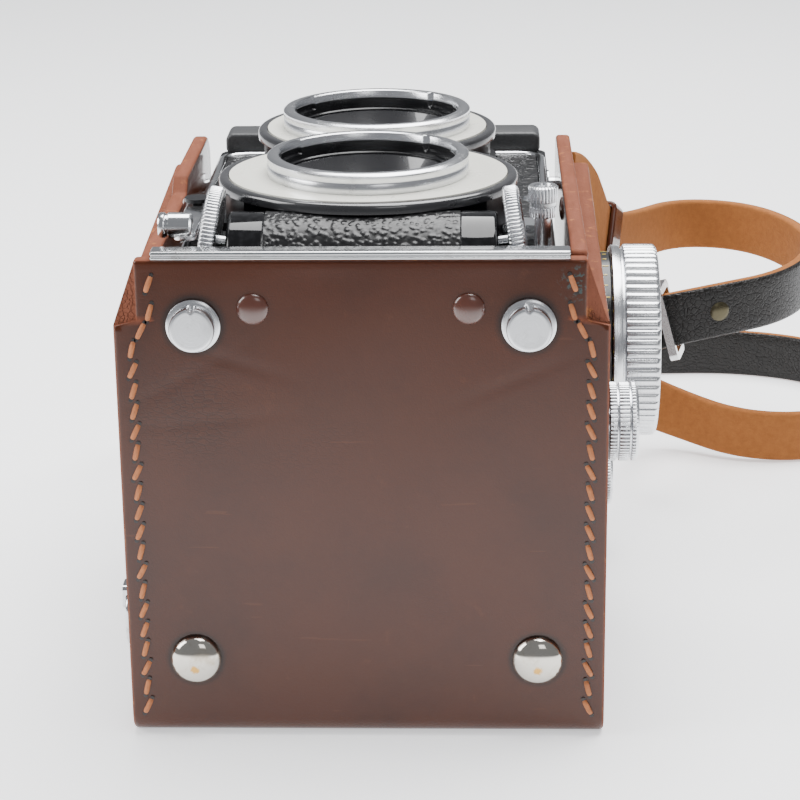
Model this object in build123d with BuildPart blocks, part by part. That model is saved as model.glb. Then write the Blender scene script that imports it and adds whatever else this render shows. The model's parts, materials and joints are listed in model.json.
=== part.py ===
"""Twin lens reflex camera lying on its back in its half leather case, with its neck strap.

Millimetres. The origin is under the taking lens, on the surface that the case's back lies on.
+Z points out of the lenses, +Y from the camera's base to its finder hood, +X to the focusing side.
"""
from build123d import *
from math import cos, pi, radians, sin, sqrt, tan
import os

os.makedirs("parts", exist_ok=True)

# ---- driving dimensions ------------------------------------------------------------------------
FIT = 0.3                # gap between pieces that only sit beside each other
RUN = 0.05               # radial clearance of a turning or sliding shaft

# leather case
LEATHER = 2.5            # base and back leather
BEND_R = 1.0             # inside of the leather's fold
LINER_T = 2.6            # inner layer of each side wall
WALL_T = 3.5             # outer layer of each side wall
CASE_SLACK = 1.7         # between the camera's side and the inner layer
BASE_Y = -31.8           # outer face of the base
CASE_SHORT = 5.8         # how far the open end stops below the camera's top
BASE_RISE = 4.3          # the base's front edge above the camera's front
LINER_RISE = 5.0         # and the inner layer's
LINER_LOW = 2.5          # and that of the left inner layer's lowered stretch
WALL_DROP = 6.0          # outer layer's front edge under the camera's front
WALL_RISE = 6.5          # how much higher it is at the open end
RAIL_T = 0.8             # bright strip on the base's front edge

# camera body
BODY_X = 30.5            # half width
BODY_T = 1.5
BODY_TOP_Y = 62.0
BODY_FRONT_Z = 76.0
BACK_T = 1.5             # back door

# front standard and lenses
LENS_GAP = 35.6          # taking axis to viewing axis
FLANGE_LIFT = 0.5        # under the standard's flange, focused at infinity
PANEL_H = 10.0           # flange's underside to the top of the ivory panel
RIM_WIDE, RIM_LOW = 8.0, 5.7     # panel beyond the taking bezel, sideways and downwards
RIM_AROUND = 4.6         # panel beyond the viewing bezel
RIM_EDGE = 1.7           # black edge around the ivory inlay
RIM_T = 1.6
INLAY_T = 0.6
BEZEL_R = 16.5
BEZEL_WALL = 2.0
BEZEL_H = 3.4
BARREL_STEP = 1.5        # barrel inside the bezel's bore
SKIRT_X = 19.4

# drum and thumb wheels under the taking lens
DRUM_R = 8.0
DRUM_X = 21.1
WHEEL_R = 8.5
WHEEL_T = 2.6
WHEEL_TILT = 9.0

# knobs
FOCUS_Y = 13.2
FOCUS_R = 16.5
FOCUS_LEN = 9.8          # boss's end to the knob's face
FOCUS_SHAFT_R = 3.0
HUB_R = 8.0
SPOOL_R = 7.0
KNOB_SHAFT_R = 2.4

# finder
SCREEN = 46.0            # ground glass, square
HOOD_REAR_Z = 12.0       # hinge line of the rear leaf
HOOD_LEAF_H = 19.0
HOOD_LEAF_T = 0.8
LID_T = 1.2
LID_REAR_Z = 9.0
MAG_X = 14.0
MAG_LEN = 27.0
PIN_R = 0.6

# neck strap: the width and thickness of the leather, and the route of its middle line
STRAP_W = 10.5
STRAP_T = 2.4
STRAP_ROUTE = [
    (35.0, 62.4, 70.0), (37.0, 70.0, 68.6), (40.6, 77.5, 60.0), (43.4, 88.0, 51.5), (49.5, 106.0, 47.0),
    (61.0, 127.0, 45.0), (78.5, 123.5, 44.5), (88.0, 100.0, 44.0), (80.0, 75.0, 43.5), (62.0, 64.5, 43.0),
    (48.0, 67.5, 39.0), (42.0, 83.0, 28.0), (46.5, 100.0, 16.0), (58.5, 106.5, 8.6), (74.0, 97.0, 5.8),
    (93.0, 99.0, 5.4), (107.0, 122.0, 5.3), (100.0, 148.0, 5.4), (79.0, 159.0, 5.3), (52.0, 157.0, 5.4),
    (24.0, 167.0, 5.3), (-6.0, 172.0, 5.4), (-32.0, 168.0, 5.3), (-45.0, 150.0, 5.4), (-33.0, 133.0, 5.3),
    (-9.0, 137.0, 5.4), (16.0, 139.0, 5.3), (31.0, 124.0, 5.4), (20.0, 107.0, 5.3), (-6.0, 110.0, 6.0),
    (-26.0, 116.0, 12.0), (-40.0, 108.0, 24.0), (-42.5, 92.0, 38.0), (-40.5, 79.0, 54.0), (-37.5, 70.0, 66.5),
    (-35.0, 62.4, 70.0),
]

# ---- values that follow from them --------------------------------------------------------------
LINER_IN_X = BODY_X + CASE_SLACK
LINER_X = LINER_IN_X + LINER_T
CASE_X = LINER_X + WALL_T
PANEL_IN_Y = BASE_Y + LEATHER
CASE_END_Y = BODY_TOP_Y - CASE_SHORT
BASE_TOP_Z = BODY_FRONT_Z + BASE_RISE
LINER_TOP_Z = BODY_FRONT_Z + LINER_RISE
LINER_LOW_Z = BODY_FRONT_Z + LINER_LOW
WALL_TOP_Z = BASE_STEP_Z = BODY_FRONT_Z - WALL_DROP
BODY_BOTTOM_Y = PANEL_IN_Y + RAIL_T + FIT
BODY_BACK_Z = LEATHER
SHELL_BACK_Z = BODY_BACK_Z + BACK_T
BODY_IN_X = BODY_X - BODY_T
FLANGE_Z = BODY_FRONT_Z + FLANGE_LIFT
PANEL_Z = FLANGE_Z + PANEL_H
RIM_A, RIM_B, RIM_R = BEZEL_R + RIM_WIDE, BEZEL_R + RIM_LOW, BEZEL_R + RIM_AROUND
RIM_TOP_Z = PANEL_Z - 0.1
RIM_Z = RIM_TOP_Z - RIM_T
INLAY_Z = PANEL_Z - INLAY_T
BEZEL_Z = PANEL_Z + BEZEL_H
BEZEL_BORE_R = BEZEL_R - BEZEL_WALL
BEZEL_NECK_R = BEZEL_BORE_R + 0.7
BARREL_R = BEZEL_BORE_R - BARREL_STEP
FLANGE_T = 1.5
FLANGE_TOP_Z = FLANGE_Z + FLANGE_T
SKIRT_LOW_Z = FLANGE_Z - 10.0
SKIRT_T = 1.2
SKIRT_Y0 = -17.4
SKIRT_Y1 = LENS_GAP + 16.8
SKIRT_GAP = 0.6
LENS_Y = (0.0, LENS_GAP)
DRUM_Y, DRUM_Z = BODY_BOTTOM_Y + DRUM_R, FLANGE_Z + 0.2
WHEEL_X, WHEEL_Y, WHEEL_Z = DRUM_X + 3.1, DRUM_Y + 1.6, FLANGE_Z + 3.5
HUB_END_X = CASE_X + FIT
FOCUS_END_X = HUB_END_X + FOCUS_LEN
FOCUS_Z = BODY_FRONT_Z - 22.5
SUPPLY_Y, SUPPLY_Z = BODY_BOTTOM_Y + SPOOL_R + 2.2, BODY_FRONT_Z - 26.2
TAKEUP_Y, TAKEUP_Z = BODY_TOP_Y - 12.5, SHELL_BACK_Z + SPOOL_R + 4.0
SCREEN_Z = (SHELL_BACK_Z + BODY_FRONT_Z) / 2
HOOD_X = BODY_X - 2.5                    # hinge lines of the side leaves
HOOD_FRONT_Z = BODY_FRONT_Z - 5.5        # front end of the side leaves
LEAF_Y = BODY_TOP_Y + 5.8                # hinge height of the three leaves
LID_AXIS_Y, LID_AXIS_Z = BODY_TOP_Y + 8.5, BODY_FRONT_Z - 2.8
LID_Y = LID_AXIS_Y + 1.3                 # underside of the closed lid
MAG_AXIS_Y, MAG_AXIS_Z = LID_Y - 1.7, LID_AXIS_Z - 24.0


def save(part, name):
    """Label a finished piece and write it to its own file."""
    part.label = name
    export_step(part, f"parts/{name}.step")


def span_x(x0, x1, y, z):
    """Plane facing +X whose origin is at x0 on the line through y and z, and the length to x1."""
    return Plane(origin=(x0, y, z), x_dir=(0, 1, 0), z_dir=(1, 0, 0)), x1 - x0


def figure_eight(inset):
    """Panel outline around both lenses, drawn smaller all round by inset, in the current sketch."""
    Ellipse(RIM_A - inset, RIM_B - inset)
    with Locations((0, LENS_GAP)):
        Circle(RIM_R - inset)
    waist = [v for v in vertices() if 4 < v.Y < LENS_GAP and abs(v.X) > 4]
    fillet(waist, 5.0)


# ---- leather case ------------------------------------------------------------------------------
# base and back, one strip of leather folded round the camera's back lower edge
RIVET_SHANK_R = 1.0
RIVET_Z, FOOT_Z = BASE_TOP_Z - 7.8, BASE_TOP_Z - 10.4
RIVETS = [(-16.6, RIVET_Z), (16.6, RIVET_Z)]
FOOT_PLACES = [(-25.8, FOOT_Z), (25.8, FOOT_Z)]
STUD_PLACES = [(-27.5, 13.7), (27.5, 13.7)]
base_plane = Plane(origin=(0, BASE_Y, 0), x_dir=(1, 0, 0), z_dir=(0, -1, 0))
with BuildPart() as case_wrap:
    with BuildSketch(Plane.YZ):
        with BuildLine():
            Polyline(
                (BASE_Y, 0), (CASE_END_Y, 0), (CASE_END_Y, LEATHER), (PANEL_IN_Y, LEATHER),
                (PANEL_IN_Y, BASE_TOP_Z), (BASE_Y, BASE_TOP_Z), close=True,
            )
        make_face()
        fillet(vertices().group_by(Axis.X)[0].sort_by(Axis.Y)[0], LEATHER + BEND_R)
        inner = [v for v in vertices() if abs(v.X - PANEL_IN_Y) < 0.01 and abs(v.Y - LEATHER) < 0.01]
        fillet(inner, BEND_R)
    extrude(amount=CASE_X, both=True)
    with BuildSketch(base_plane):
        with Locations((-CASE_X, BASE_STEP_Z), (CASE_X, BASE_STEP_Z)):
            Rectangle(2 * WALL_T, 4 * WALL_T, align=(Align.CENTER, Align.MIN))
    extrude(amount=-LEATHER, mode=Mode.SUBTRACT)
    with BuildSketch(base_plane):
        with Locations(*RIVETS, *FOOT_PLACES, *STUD_PLACES):
            Circle(RIVET_SHANK_R + RUN)
    extrude(amount=-LEATHER, mode=Mode.SUBTRACT)
    fillet(case_wrap.part.edges().filter_by(Axis.Z).filter_by(
        lambda e: abs(e.center().Y - CASE_END_Y) < 0.01 and e.length < 2 * LEATHER), 6.0)
save(case_wrap.part, "case_wrap")


def wall_outline(top, rise, low=None):
    """Side wall seen along X: square at the base, rounded at the open end, rising by rise."""
    with BuildSketch() as outline:
        with BuildLine():
            start = [(PANEL_IN_Y + BEND_R, LEATHER), (PANEL_IN_Y, LEATHER + BEND_R), (PANEL_IN_Y, low or top)]
            if low:
                start += [(18.0, low), (20.5, top)]
            Polyline(*start, (CASE_END_Y, top + rise), (CASE_END_Y, LEATHER), close=True)
        make_face()
        far = [v for v in vertices() if abs(v.X - CASE_END_Y) < 0.01 and v.Y > top - 0.01]
        fillet(far, 5.0)
    return outline.sketch


def wall_holes(side):
    """Holes for the knobs' shafts, in the current sketch on a plane facing X."""
    if side > 0:
        with Locations((FOCUS_Y, FOCUS_Z)):
            Circle(HUB_R + 2 * FIT)
        with Locations((SUPPLY_Y, SUPPLY_Z)):
            Circle(KNOB_SHAFT_R + 4 * FIT)
    with Locations((TAKEUP_Y, TAKEUP_Z)):
        Circle(KNOB_SHAFT_R + 4 * FIT)


LINER_RIVET_Y, LINER_RIVET_Z = 14.0, BODY_FRONT_Z + 0.6
for side, word in ((-1, "left"), (1, "right")):
    x_in, x_mid, x_out = (side * v for v in (LINER_IN_X, LINER_X, CASE_X))
    wall_face = wall_outline(WALL_TOP_Z, WALL_RISE)
    liner_face = wall_outline(LINER_TOP_Z, 0, LINER_LOW_Z if side < 0 else None)
    with BuildPart() as wall:
        plane, length = span_x(min(x_mid, x_out), max(x_mid, x_out), 0, 0)
        with BuildSketch(plane):
            add(wall_face)
        extrude(amount=length)
        with BuildSketch(plane):
            wall_holes(side)
        extrude(amount=length, mode=Mode.SUBTRACT)
    save(wall.part, f"case_side_{word}")
    with BuildPart() as liner:
        plane, length = span_x(min(x_in, x_mid), max(x_in, x_mid), 0, 0)
        with BuildSketch(plane):
            add(liner_face)
        extrude(amount=length)
        with BuildSketch(plane):
            wall_holes(side)
            with Locations((LINER_RIVET_Y, LINER_RIVET_Z)):
                Circle(RIVET_SHANK_R + RUN)
        extrude(amount=length, mode=Mode.SUBTRACT)
    save(liner.part, f"case_liner_{word}")

# bright strip over the base's front edge, with a flange down its inner side
RAIL_LIP_Z = BASE_TOP_Z + 1.3
RAIL_X = LINER_IN_X - FIT / 2
with BuildPart() as rail:
    with BuildSketch(Plane.YZ.offset(-RAIL_X)):
        with BuildLine():
            Polyline(
                (BASE_Y - 0.2, BASE_TOP_Z), (PANEL_IN_Y, BASE_TOP_Z), (PANEL_IN_Y, BASE_TOP_Z - 9.5),
                (PANEL_IN_Y + RAIL_T, BASE_TOP_Z - 9.5), (PANEL_IN_Y + RAIL_T, RAIL_LIP_Z),
                (BASE_Y - 0.2, RAIL_LIP_Z), close=True,
            )
        make_face()
    extrude(amount=2 * RAIL_X)
    with BuildSketch(base_plane):
        with Locations(*RIVETS):
            Circle(RIVET_SHANK_R + RUN)
        with Locations(*FOOT_PLACES):
            Circle(RIVET_SHANK_R + 4 * FIT)
    extrude(amount=-(LEATHER + RAIL_T), mode=Mode.SUBTRACT)
save(rail.part, "case_front_rail")


def turned(places, profile):
    """Turned fittings on the base: profile is (radius, height out of the leather) round the shank."""
    for x, z in places:
        axis_plane = Plane(origin=(x, BASE_Y, z), x_dir=(1, 0, 0), z_dir=(0, 0, 1))
        with BuildSketch(axis_plane) as half:
            with BuildLine():
                Polyline(*[(r, -h) for r, h in profile], close=True)
            make_face()
        revolve(half.sketch, axis=Axis((x, BASE_Y, z), (0, 1, 0)))


STUD_R = 4.1
with BuildPart() as rivets:
    turned(RIVETS, [(0, 1.1), (1.3, 1.0), (2.2, 0.6), (2.5, 0), (RIVET_SHANK_R, 0),
                    (RIVET_SHANK_R, -LEATHER - RAIL_T), (0, -LEATHER - RAIL_T)])
    for side in (-1, 1):
        inside = side * (LINER_IN_X - 0.45)
        plane, length = span_x(min(inside, side * LINER_X), max(inside, side * LINER_X),
                               LINER_RIVET_Y, LINER_RIVET_Z)
        with BuildSketch(plane):
            Circle(RIVET_SHANK_R)
        extrude(amount=length)
        head = side * LINER_IN_X
        plane, length = span_x(min(inside, head), max(inside, head), LINER_RIVET_Y, LINER_RIVET_Z)
        with BuildSketch(plane):
            Circle(2 * RIVET_SHANK_R)
        extrude(amount=length)
save(rivets.part, "case_rivets")

with BuildPart() as studs:
    turned(STUD_PLACES, [(0, 2.3), (1.6, 2.1), (2.9, 1.5), (3.7, 0.7), (STUD_R, 0), (RIVET_SHANK_R, 0),
                         (RIVET_SHANK_R, -LEATHER), (0, -LEATHER)])
save(studs.part, "rear_studs")

with BuildPart() as feet:
    turned(FOOT_PLACES, [(0, 3.1), (3.2, 3.1), (3.5, 2.8), (3.5, 0.8), (4.25, 0.7), (4.25, 0),
                         (RIVET_SHANK_R, 0), (RIVET_SHANK_R, -LEATHER), (0, -LEATHER)])
save(feet.part, "front_feet")

# wire ring on the left wall, in a staple
RING_Y, RING_Z = -17.5, 19.0
RING_WIRE_R = 0.6
RING_HOLE_R = RING_WIRE_R + RUN
with BuildPart() as staple:
    plane, length = span_x(-CASE_X - 2.6, -CASE_X, RING_Y, RING_Z)
    with BuildSketch(plane):
        RectangleRounded(4.0, 4.0, 0.8)
    extrude(amount=length)
    with BuildSketch(Plane(origin=(-CASE_X - 1.5, RING_Y, RING_Z), x_dir=(1, 0, 0), z_dir=(0, 1, 0))):
        Circle(RING_HOLE_R)
    extrude(amount=4.0, both=True, mode=Mode.SUBTRACT)
save(staple.part, "ring_staple")

with BuildPart() as ring:
    ring_x = -CASE_X - 1.5
    half, drop = 3.6, 7.6
    with BuildLine() as ring_path:
        FilletPolyline((ring_x, RING_Y + half, RING_Z), (ring_x, RING_Y + half, RING_Z - drop),
                       (ring_x, RING_Y - half, RING_Z - drop), (ring_x, RING_Y - half, RING_Z),
                       radius=2.0, close=True)
    with BuildSketch(Plane(origin=(ring_x, RING_Y, RING_Z), x_dir=(1, 0, 0), z_dir=(0, 1, 0))):
        Circle(RING_WIRE_R)
    sweep(path=ring_path.line)
save(ring.part, "case_ring")

# ---- camera body -------------------------------------------------------------------------------
WELL_X0, WELL_X1 = DRUM_X + 0.5, WHEEL_X + 3.2
WELL_Y0, WELL_Y1 = WHEEL_Y - WHEEL_R - FIT, WHEEL_Y + WHEEL_R + 3 * FIT
HUB_BORE_R = FOCUS_SHAFT_R + RUN
body_mid_y = (BODY_BOTTOM_Y + BODY_TOP_Y) / 2
body_len = BODY_TOP_Y - BODY_BOTTOM_Y
with BuildPart() as shell:
    with BuildSketch(Plane.XY.offset(SHELL_BACK_Z)):
        with Locations((0, body_mid_y)):
            RectangleRounded(2 * BODY_X, body_len, 3.0)
    extrude(amount=BODY_FRONT_Z - SHELL_BACK_Z)
    with BuildSketch(Plane.XY.offset(SHELL_BACK_Z)):
        with Locations((0, body_mid_y)):
            RectangleRounded(2 * BODY_IN_X, body_len - 2 * BODY_T, 1.5)
    extrude(amount=BODY_FRONT_Z - SHELL_BACK_Z - BODY_T, mode=Mode.SUBTRACT)
    with BuildSketch(Plane.XY.offset(BODY_FRONT_Z - BODY_T)):
        with Locations((0, (SKIRT_Y0 + SKIRT_Y1) / 2)):
            RectangleRounded(2 * (SKIRT_X + SKIRT_GAP), SKIRT_Y1 - SKIRT_Y0 + 2 * SKIRT_GAP, 3.0)
        for side in (-1, 1):
            with Locations((side * (WELL_X0 + WELL_X1) / 2, (WELL_Y0 + WELL_Y1) / 2)):
                Rectangle(WELL_X1 - WELL_X0, WELL_Y1 - WELL_Y0)
    extrude(amount=BODY_T, mode=Mode.SUBTRACT)
    # window under the ground glass
    with BuildSketch(Plane(origin=(0, BODY_TOP_Y, SCREEN_Z), x_dir=(1, 0, 0), z_dir=(0, 1, 0))):
        Rectangle(SCREEN - 3, SCREEN - 3)
    extrude(amount=-BODY_T, mode=Mode.SUBTRACT)
    # boss of the focusing shaft, cast on the right side
    plane, length = span_x(BODY_IN_X, HUB_END_X, FOCUS_Y, FOCUS_Z)
    with BuildSketch(plane):
        Circle(HUB_R)
    extrude(amount=length)
    with BuildSketch(plane):
        Circle(HUB_BORE_R)
    extrude(amount=length, mode=Mode.SUBTRACT)
    # holes of the film knobs' shafts, the wind shaft and the tripod bush
    plane, length = span_x(BODY_IN_X, BODY_X, 0, 0)
    with BuildSketch(plane):
        with Locations((SUPPLY_Y, SUPPLY_Z), (TAKEUP_Y, TAKEUP_Z)):
            Circle(KNOB_SHAFT_R + RUN)
    extrude(amount=length, mode=Mode.SUBTRACT)
    plane, length = span_x(-BODY_X, -BODY_IN_X, 0, 0)
    with BuildSketch(plane):
        with Locations((TAKEUP_Y, TAKEUP_Z)):
            Circle(KNOB_SHAFT_R + RUN)
    extrude(amount=length, mode=Mode.SUBTRACT)
    with BuildSketch(Plane(origin=(0, BODY_BOTTOM_Y, SCREEN_Z), x_dir=(1, 0, 0), z_dir=(0, 1, 0))):
        Circle(5.0)
    extrude(amount=BODY_T, mode=Mode.SUBTRACT)
save(shell.part, "body_shell")

with BuildPart() as bush:
    with BuildSketch(Plane(origin=(0, BODY_BOTTOM_Y, SCREEN_Z), x_dir=(1, 0, 0), z_dir=(0, 1, 0))):
        Circle(5.0)
    extrude(amount=BODY_T)
    with BuildSketch(Plane(origin=(0, BODY_BOTTOM_Y + BODY_T, 40), x_dir=(1, 0, 0), z_dir=(0, 1, 0))):
        Circle(6.5)
    extrude(amount=2.5)
    with BuildSketch(Plane(origin=(0, BODY_BOTTOM_Y, SCREEN_Z), x_dir=(1, 0, 0), z_dir=(0, 1, 0))):
        Circle(3.1)
    extrude(amount=BODY_T + 2.5, mode=Mode.SUBTRACT)
save(bush.part, "tripod_bush")

with BuildPart() as back:
    with BuildSketch(Plane.XY.offset(BODY_BACK_Z)):
        with Locations((0, body_mid_y)):
            RectangleRounded(2 * BODY_X, body_len, 3.0)
    extrude(amount=BACK_T)
save(back.part, "camera_back")

# film gate, pressure plate, its bowed leaf spring, and the two rollers
GATE_Z = SHELL_BACK_Z + 5.0
GATE_T = 1.5
FRAME = 40.0
PLATE_Z = GATE_Z - 0.4 - 1.0
with BuildPart() as gate:
    with BuildSketch(Plane.XY.offset(GATE_Z)):
        with Locations((0, 2.0)):
            Rectangle(2 * BODY_IN_X, 50.0)
        Rectangle(FRAME, FRAME, mode=Mode.SUBTRACT)
    extrude(amount=GATE_T)
save(gate.part, "film_gate")

with BuildPart() as plate:
    with BuildSketch(Plane.XY.offset(PLATE_Z)):
        RectangleRounded(44.0, 44.0, 2.0)
    extrude(amount=1.0)
save(plate.part, "pressure_plate")

with BuildPart() as leaf:
    with BuildSketch(Plane.YZ.offset(-4.0)):
        with BuildLine():
            Polyline((-18, SHELL_BACK_Z), (-10, SHELL_BACK_Z), (-4, PLATE_Z - 0.5), (4, PLATE_Z - 0.5),
                     (10, SHELL_BACK_Z), (18, SHELL_BACK_Z), (18, SHELL_BACK_Z + 0.5),
                     (10.3, SHELL_BACK_Z + 0.5), (4.3, PLATE_Z), (-4.3, PLATE_Z),
                     (-10.3, SHELL_BACK_Z + 0.5), (-18, SHELL_BACK_Z + 0.5), close=True)
        make_face()
    extrude(amount=8.0)
save(leaf.part, "pressure_spring")

with BuildPart() as rollers:
    for y, z in ((BODY_BOTTOM_Y + 4.0, GATE_Z + 4.0), (29.6, GATE_Z + 4.0)):
        for half_len, r in ((BODY_IN_X, 0.8), (BODY_IN_X - 2.0, 2.0)):
            plane, length = span_x(-half_len, half_len, y, z)
            with BuildSketch(plane):
                Circle(r)
            extrude(amount=length)
save(rollers.part, "film_rollers")

# film spools: core, two flanges and a keyed hole in each end
SPOOL_X = BODY_IN_X - 5.0
SPOOL_CORE_R = 3.8
for word, y, z in (("supply_spool", SUPPLY_Y, SUPPLY_Z), ("takeup_spool", TAKEUP_Y, TAKEUP_Z)):
    with BuildPart() as spool:
        plane, length = span_x(-SPOOL_X, SPOOL_X, y, z)
        with BuildSketch(plane):
            Circle(SPOOL_CORE_R)
        extrude(amount=length)
        for x in (-SPOOL_X, SPOOL_X - 1.0):
            plane, length = span_x(x, x + 1.0, y, z)
            with BuildSketch(plane):
                Circle(SPOOL_R)
            extrude(amount=length)
        for x in (-SPOOL_X, SPOOL_X - 6.0):
            plane, length = span_x(x, x + 6.0, y, z)
            with BuildSketch(plane):
                Circle(KNOB_SHAFT_R + RUN)
            extrude(amount=length, mode=Mode.SUBTRACT)
    save(spool.part, word)

# mirror at 45 degrees behind the viewing lens
MIRROR_SUM = LENS_GAP + SCREEN_Z + 2.0     # y + z on the reflecting face
MIRROR_LEN = 56.0
mirror_y = (MIRROR_SUM + LENS_GAP - SCREEN_Z) / 2
mirror_plane = Plane(origin=(0, mirror_y, MIRROR_SUM - mirror_y), x_dir=(1, 0, 0), z_dir=(0, -1, -1))
with BuildPart() as mirror:
    with BuildSketch(mirror_plane):
        Rectangle(48.0, MIRROR_LEN)
    extrude(amount=1.5)
save(mirror.part, "mirror")

# leatherette and bright edging on the body's front
TRIM_W = 1.6
TRIM_H = 0.9
TRIM_TOP_Y = BODY_TOP_Y - 4.4
trim_mid_y = (BODY_BOTTOM_Y + 0.3 + TRIM_TOP_Y) / 2
trim_len = TRIM_TOP_Y - BODY_BOTTOM_Y - 0.3
with BuildPart() as trim:
    with BuildSketch(Plane.XY.offset(BODY_FRONT_Z)):
        with Locations((0, trim_mid_y)):
            RectangleRounded(2 * (BODY_X - 0.2), trim_len, 5.0)
            RectangleRounded(2 * (BODY_X - 0.2 - TRIM_W), trim_len - 1.0, 4.5, mode=Mode.SUBTRACT)
    extrude(amount=TRIM_H)
save(trim.part, "front_trim")

FLANGE_X = SKIRT_X + 1.8
FLANGE_Y0, FLANGE_Y1 = BODY_BOTTOM_Y + 0.8, SKIRT_Y1 + 1.8
with BuildPart() as skin:
    with BuildSketch(Plane.XY.offset(BODY_FRONT_Z)):
        with Locations((0, trim_mid_y)):
            RectangleRounded(2 * (BODY_X - 0.3 - TRIM_W), trim_len - 1.2, 4.4)
        with Locations((0, (FLANGE_Y0 + FLANGE_Y1) / 2)):
            Rectangle(2 * (FLANGE_X + 0.3), FLANGE_Y1 - FLANGE_Y0 + 0.6, mode=Mode.SUBTRACT)
        for side in (-1, 1):
            with Locations((side * (WELL_X0 + WELL_X1) / 2, (WELL_Y0 + WELL_Y1) / 2 - 1)):
                Rectangle(WELL_X1 - WELL_X0, WELL_Y1 - WELL_Y0 + 2, mode=Mode.SUBTRACT)
    extrude(amount=0.5)
save(skin.part, "front_leatherette")

# strap lugs: a headed stud on each side of the body, above the case
LUG_Y, LUG_Z = BODY_TOP_Y - 3.0, BODY_FRONT_Z - 6.0
LUG_NECK_X = BODY_X + 4.1
with BuildPart() as lugs:
    for side in (-1, 1):
        for x0, x1, r in ((BODY_X, LUG_NECK_X, 1.3), (LUG_NECK_X, LUG_NECK_X + 0.8, 2.4),
                          (BODY_X, BODY_X + 0.7, 2.6)):
            plane, length = span_x(min(side * x0, side * x1), max(side * x0, side * x1), LUG_Y, LUG_Z)
            with BuildSketch(plane):
                Circle(r)
            extrude(amount=length)
save(lugs.part, "strap_lugs")

# ---- knobs -------------------------------------------------------------------------------------
SCALE_T = 1.6
KNOB_X = HUB_END_X + SCALE_T + FIT / 2
with BuildPart() as scale_ring:
    plane, length = span_x(HUB_END_X, HUB_END_X + SCALE_T, FOCUS_Y, FOCUS_Z)
    with BuildSketch(plane):
        Circle(FOCUS_R - 1.3)
        Circle(FOCUS_SHAFT_R + FIT, mode=Mode.SUBTRACT)
    extrude(amount=length)
save(scale_ring.part, "depth_scale_ring")


def turned_x(y, z, profile, side=1):
    """Solid turned about an axis along X: profile is (x, radius) from the inner end to the outer."""
    plane = Plane(origin=(0, y, z), x_dir=(side, 0, 0), z_dir=(0, -side, 0))
    with BuildSketch(plane) as half:
        with BuildLine():
            Polyline((profile[0][0], 0), *profile, (profile[-1][0], 0), close=True)
        make_face()
    revolve(half.sketch, axis=Axis((0, y, z), (1, 0, 0)))


CAM_X0 = BODY_IN_X - 2.0
with BuildPart() as focus_knob:
    turned_x(FOCUS_Y, FOCUS_Z, [
        (CAM_X0, 6.0), (BODY_IN_X - FIT, 6.0), (BODY_IN_X - FIT, FOCUS_SHAFT_R), (KNOB_X, FOCUS_SHAFT_R),
        (KNOB_X, FOCUS_R - 0.4), (KNOB_X + 0.3, FOCUS_R - 0.2), (KNOB_X + 1.7, FOCUS_R - 0.2),
        (KNOB_X + 1.7, FOCUS_R - 0.6), (KNOB_X + 2.1, FOCUS_R - 0.6), (KNOB_X + 2.1, FOCUS_R),
        (FOCUS_END_X - 0.5, FOCUS_R), (FOCUS_END_X, FOCUS_R - 0.5), (FOCUS_END_X, FOCUS_R - 2.5),
        (FOCUS_END_X - 0.8, FOCUS_R - 3.2), (FOCUS_END_X - 0.8, 4.0), (FOCUS_END_X - 0.3, 3.4),
    ])
save(focus_knob.part, "focus_knob")

FILM_KNOB_X = CASE_X + 2 * FIT
SHAFT_IN_X = SPOOL_X - 4.0
for word, y, z, r in (("supply_knob", SUPPLY_Y, SUPPLY_Z, 6.35), ("takeup_knob", TAKEUP_Y, TAKEUP_Z, 5.6)):
    with BuildPart() as film_knob:
        turned_x(y, z, [
            (SHAFT_IN_X, KNOB_SHAFT_R), (FILM_KNOB_X, KNOB_SHAFT_R), (FILM_KNOB_X, r),
            (FILM_KNOB_X + 1.2, r), (FILM_KNOB_X + 1.2, r - 0.4), (FILM_KNOB_X + 1.5, r - 0.4),
            (FILM_KNOB_X + 1.5, r), (FILM_KNOB_X + 3.2, r), (FILM_KNOB_X + 3.2, r - 0.4),
            (FILM_KNOB_X + 3.5, r - 0.4), (FILM_KNOB_X + 3.5, r), (FILM_KNOB_X + 4.2, r),
            (FILM_KNOB_X + 4.6, r - 0.5),
        ])
    save(film_knob.part, word)

with BuildPart() as wind_knob:
    turned_x(TAKEUP_Y, TAKEUP_Z, [
        (SHAFT_IN_X, KNOB_SHAFT_R), (FILM_KNOB_X, KNOB_SHAFT_R), (FILM_KNOB_X, 8.2), (FILM_KNOB_X + 4.6, 8.2),
        (FILM_KNOB_X + 5.2, 7.6), (FILM_KNOB_X + 5.2, 5.6), (FILM_KNOB_X + 4.8, 5.2),
    ], side=-1)
save(wind_knob.part, "wind_knob")

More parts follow.
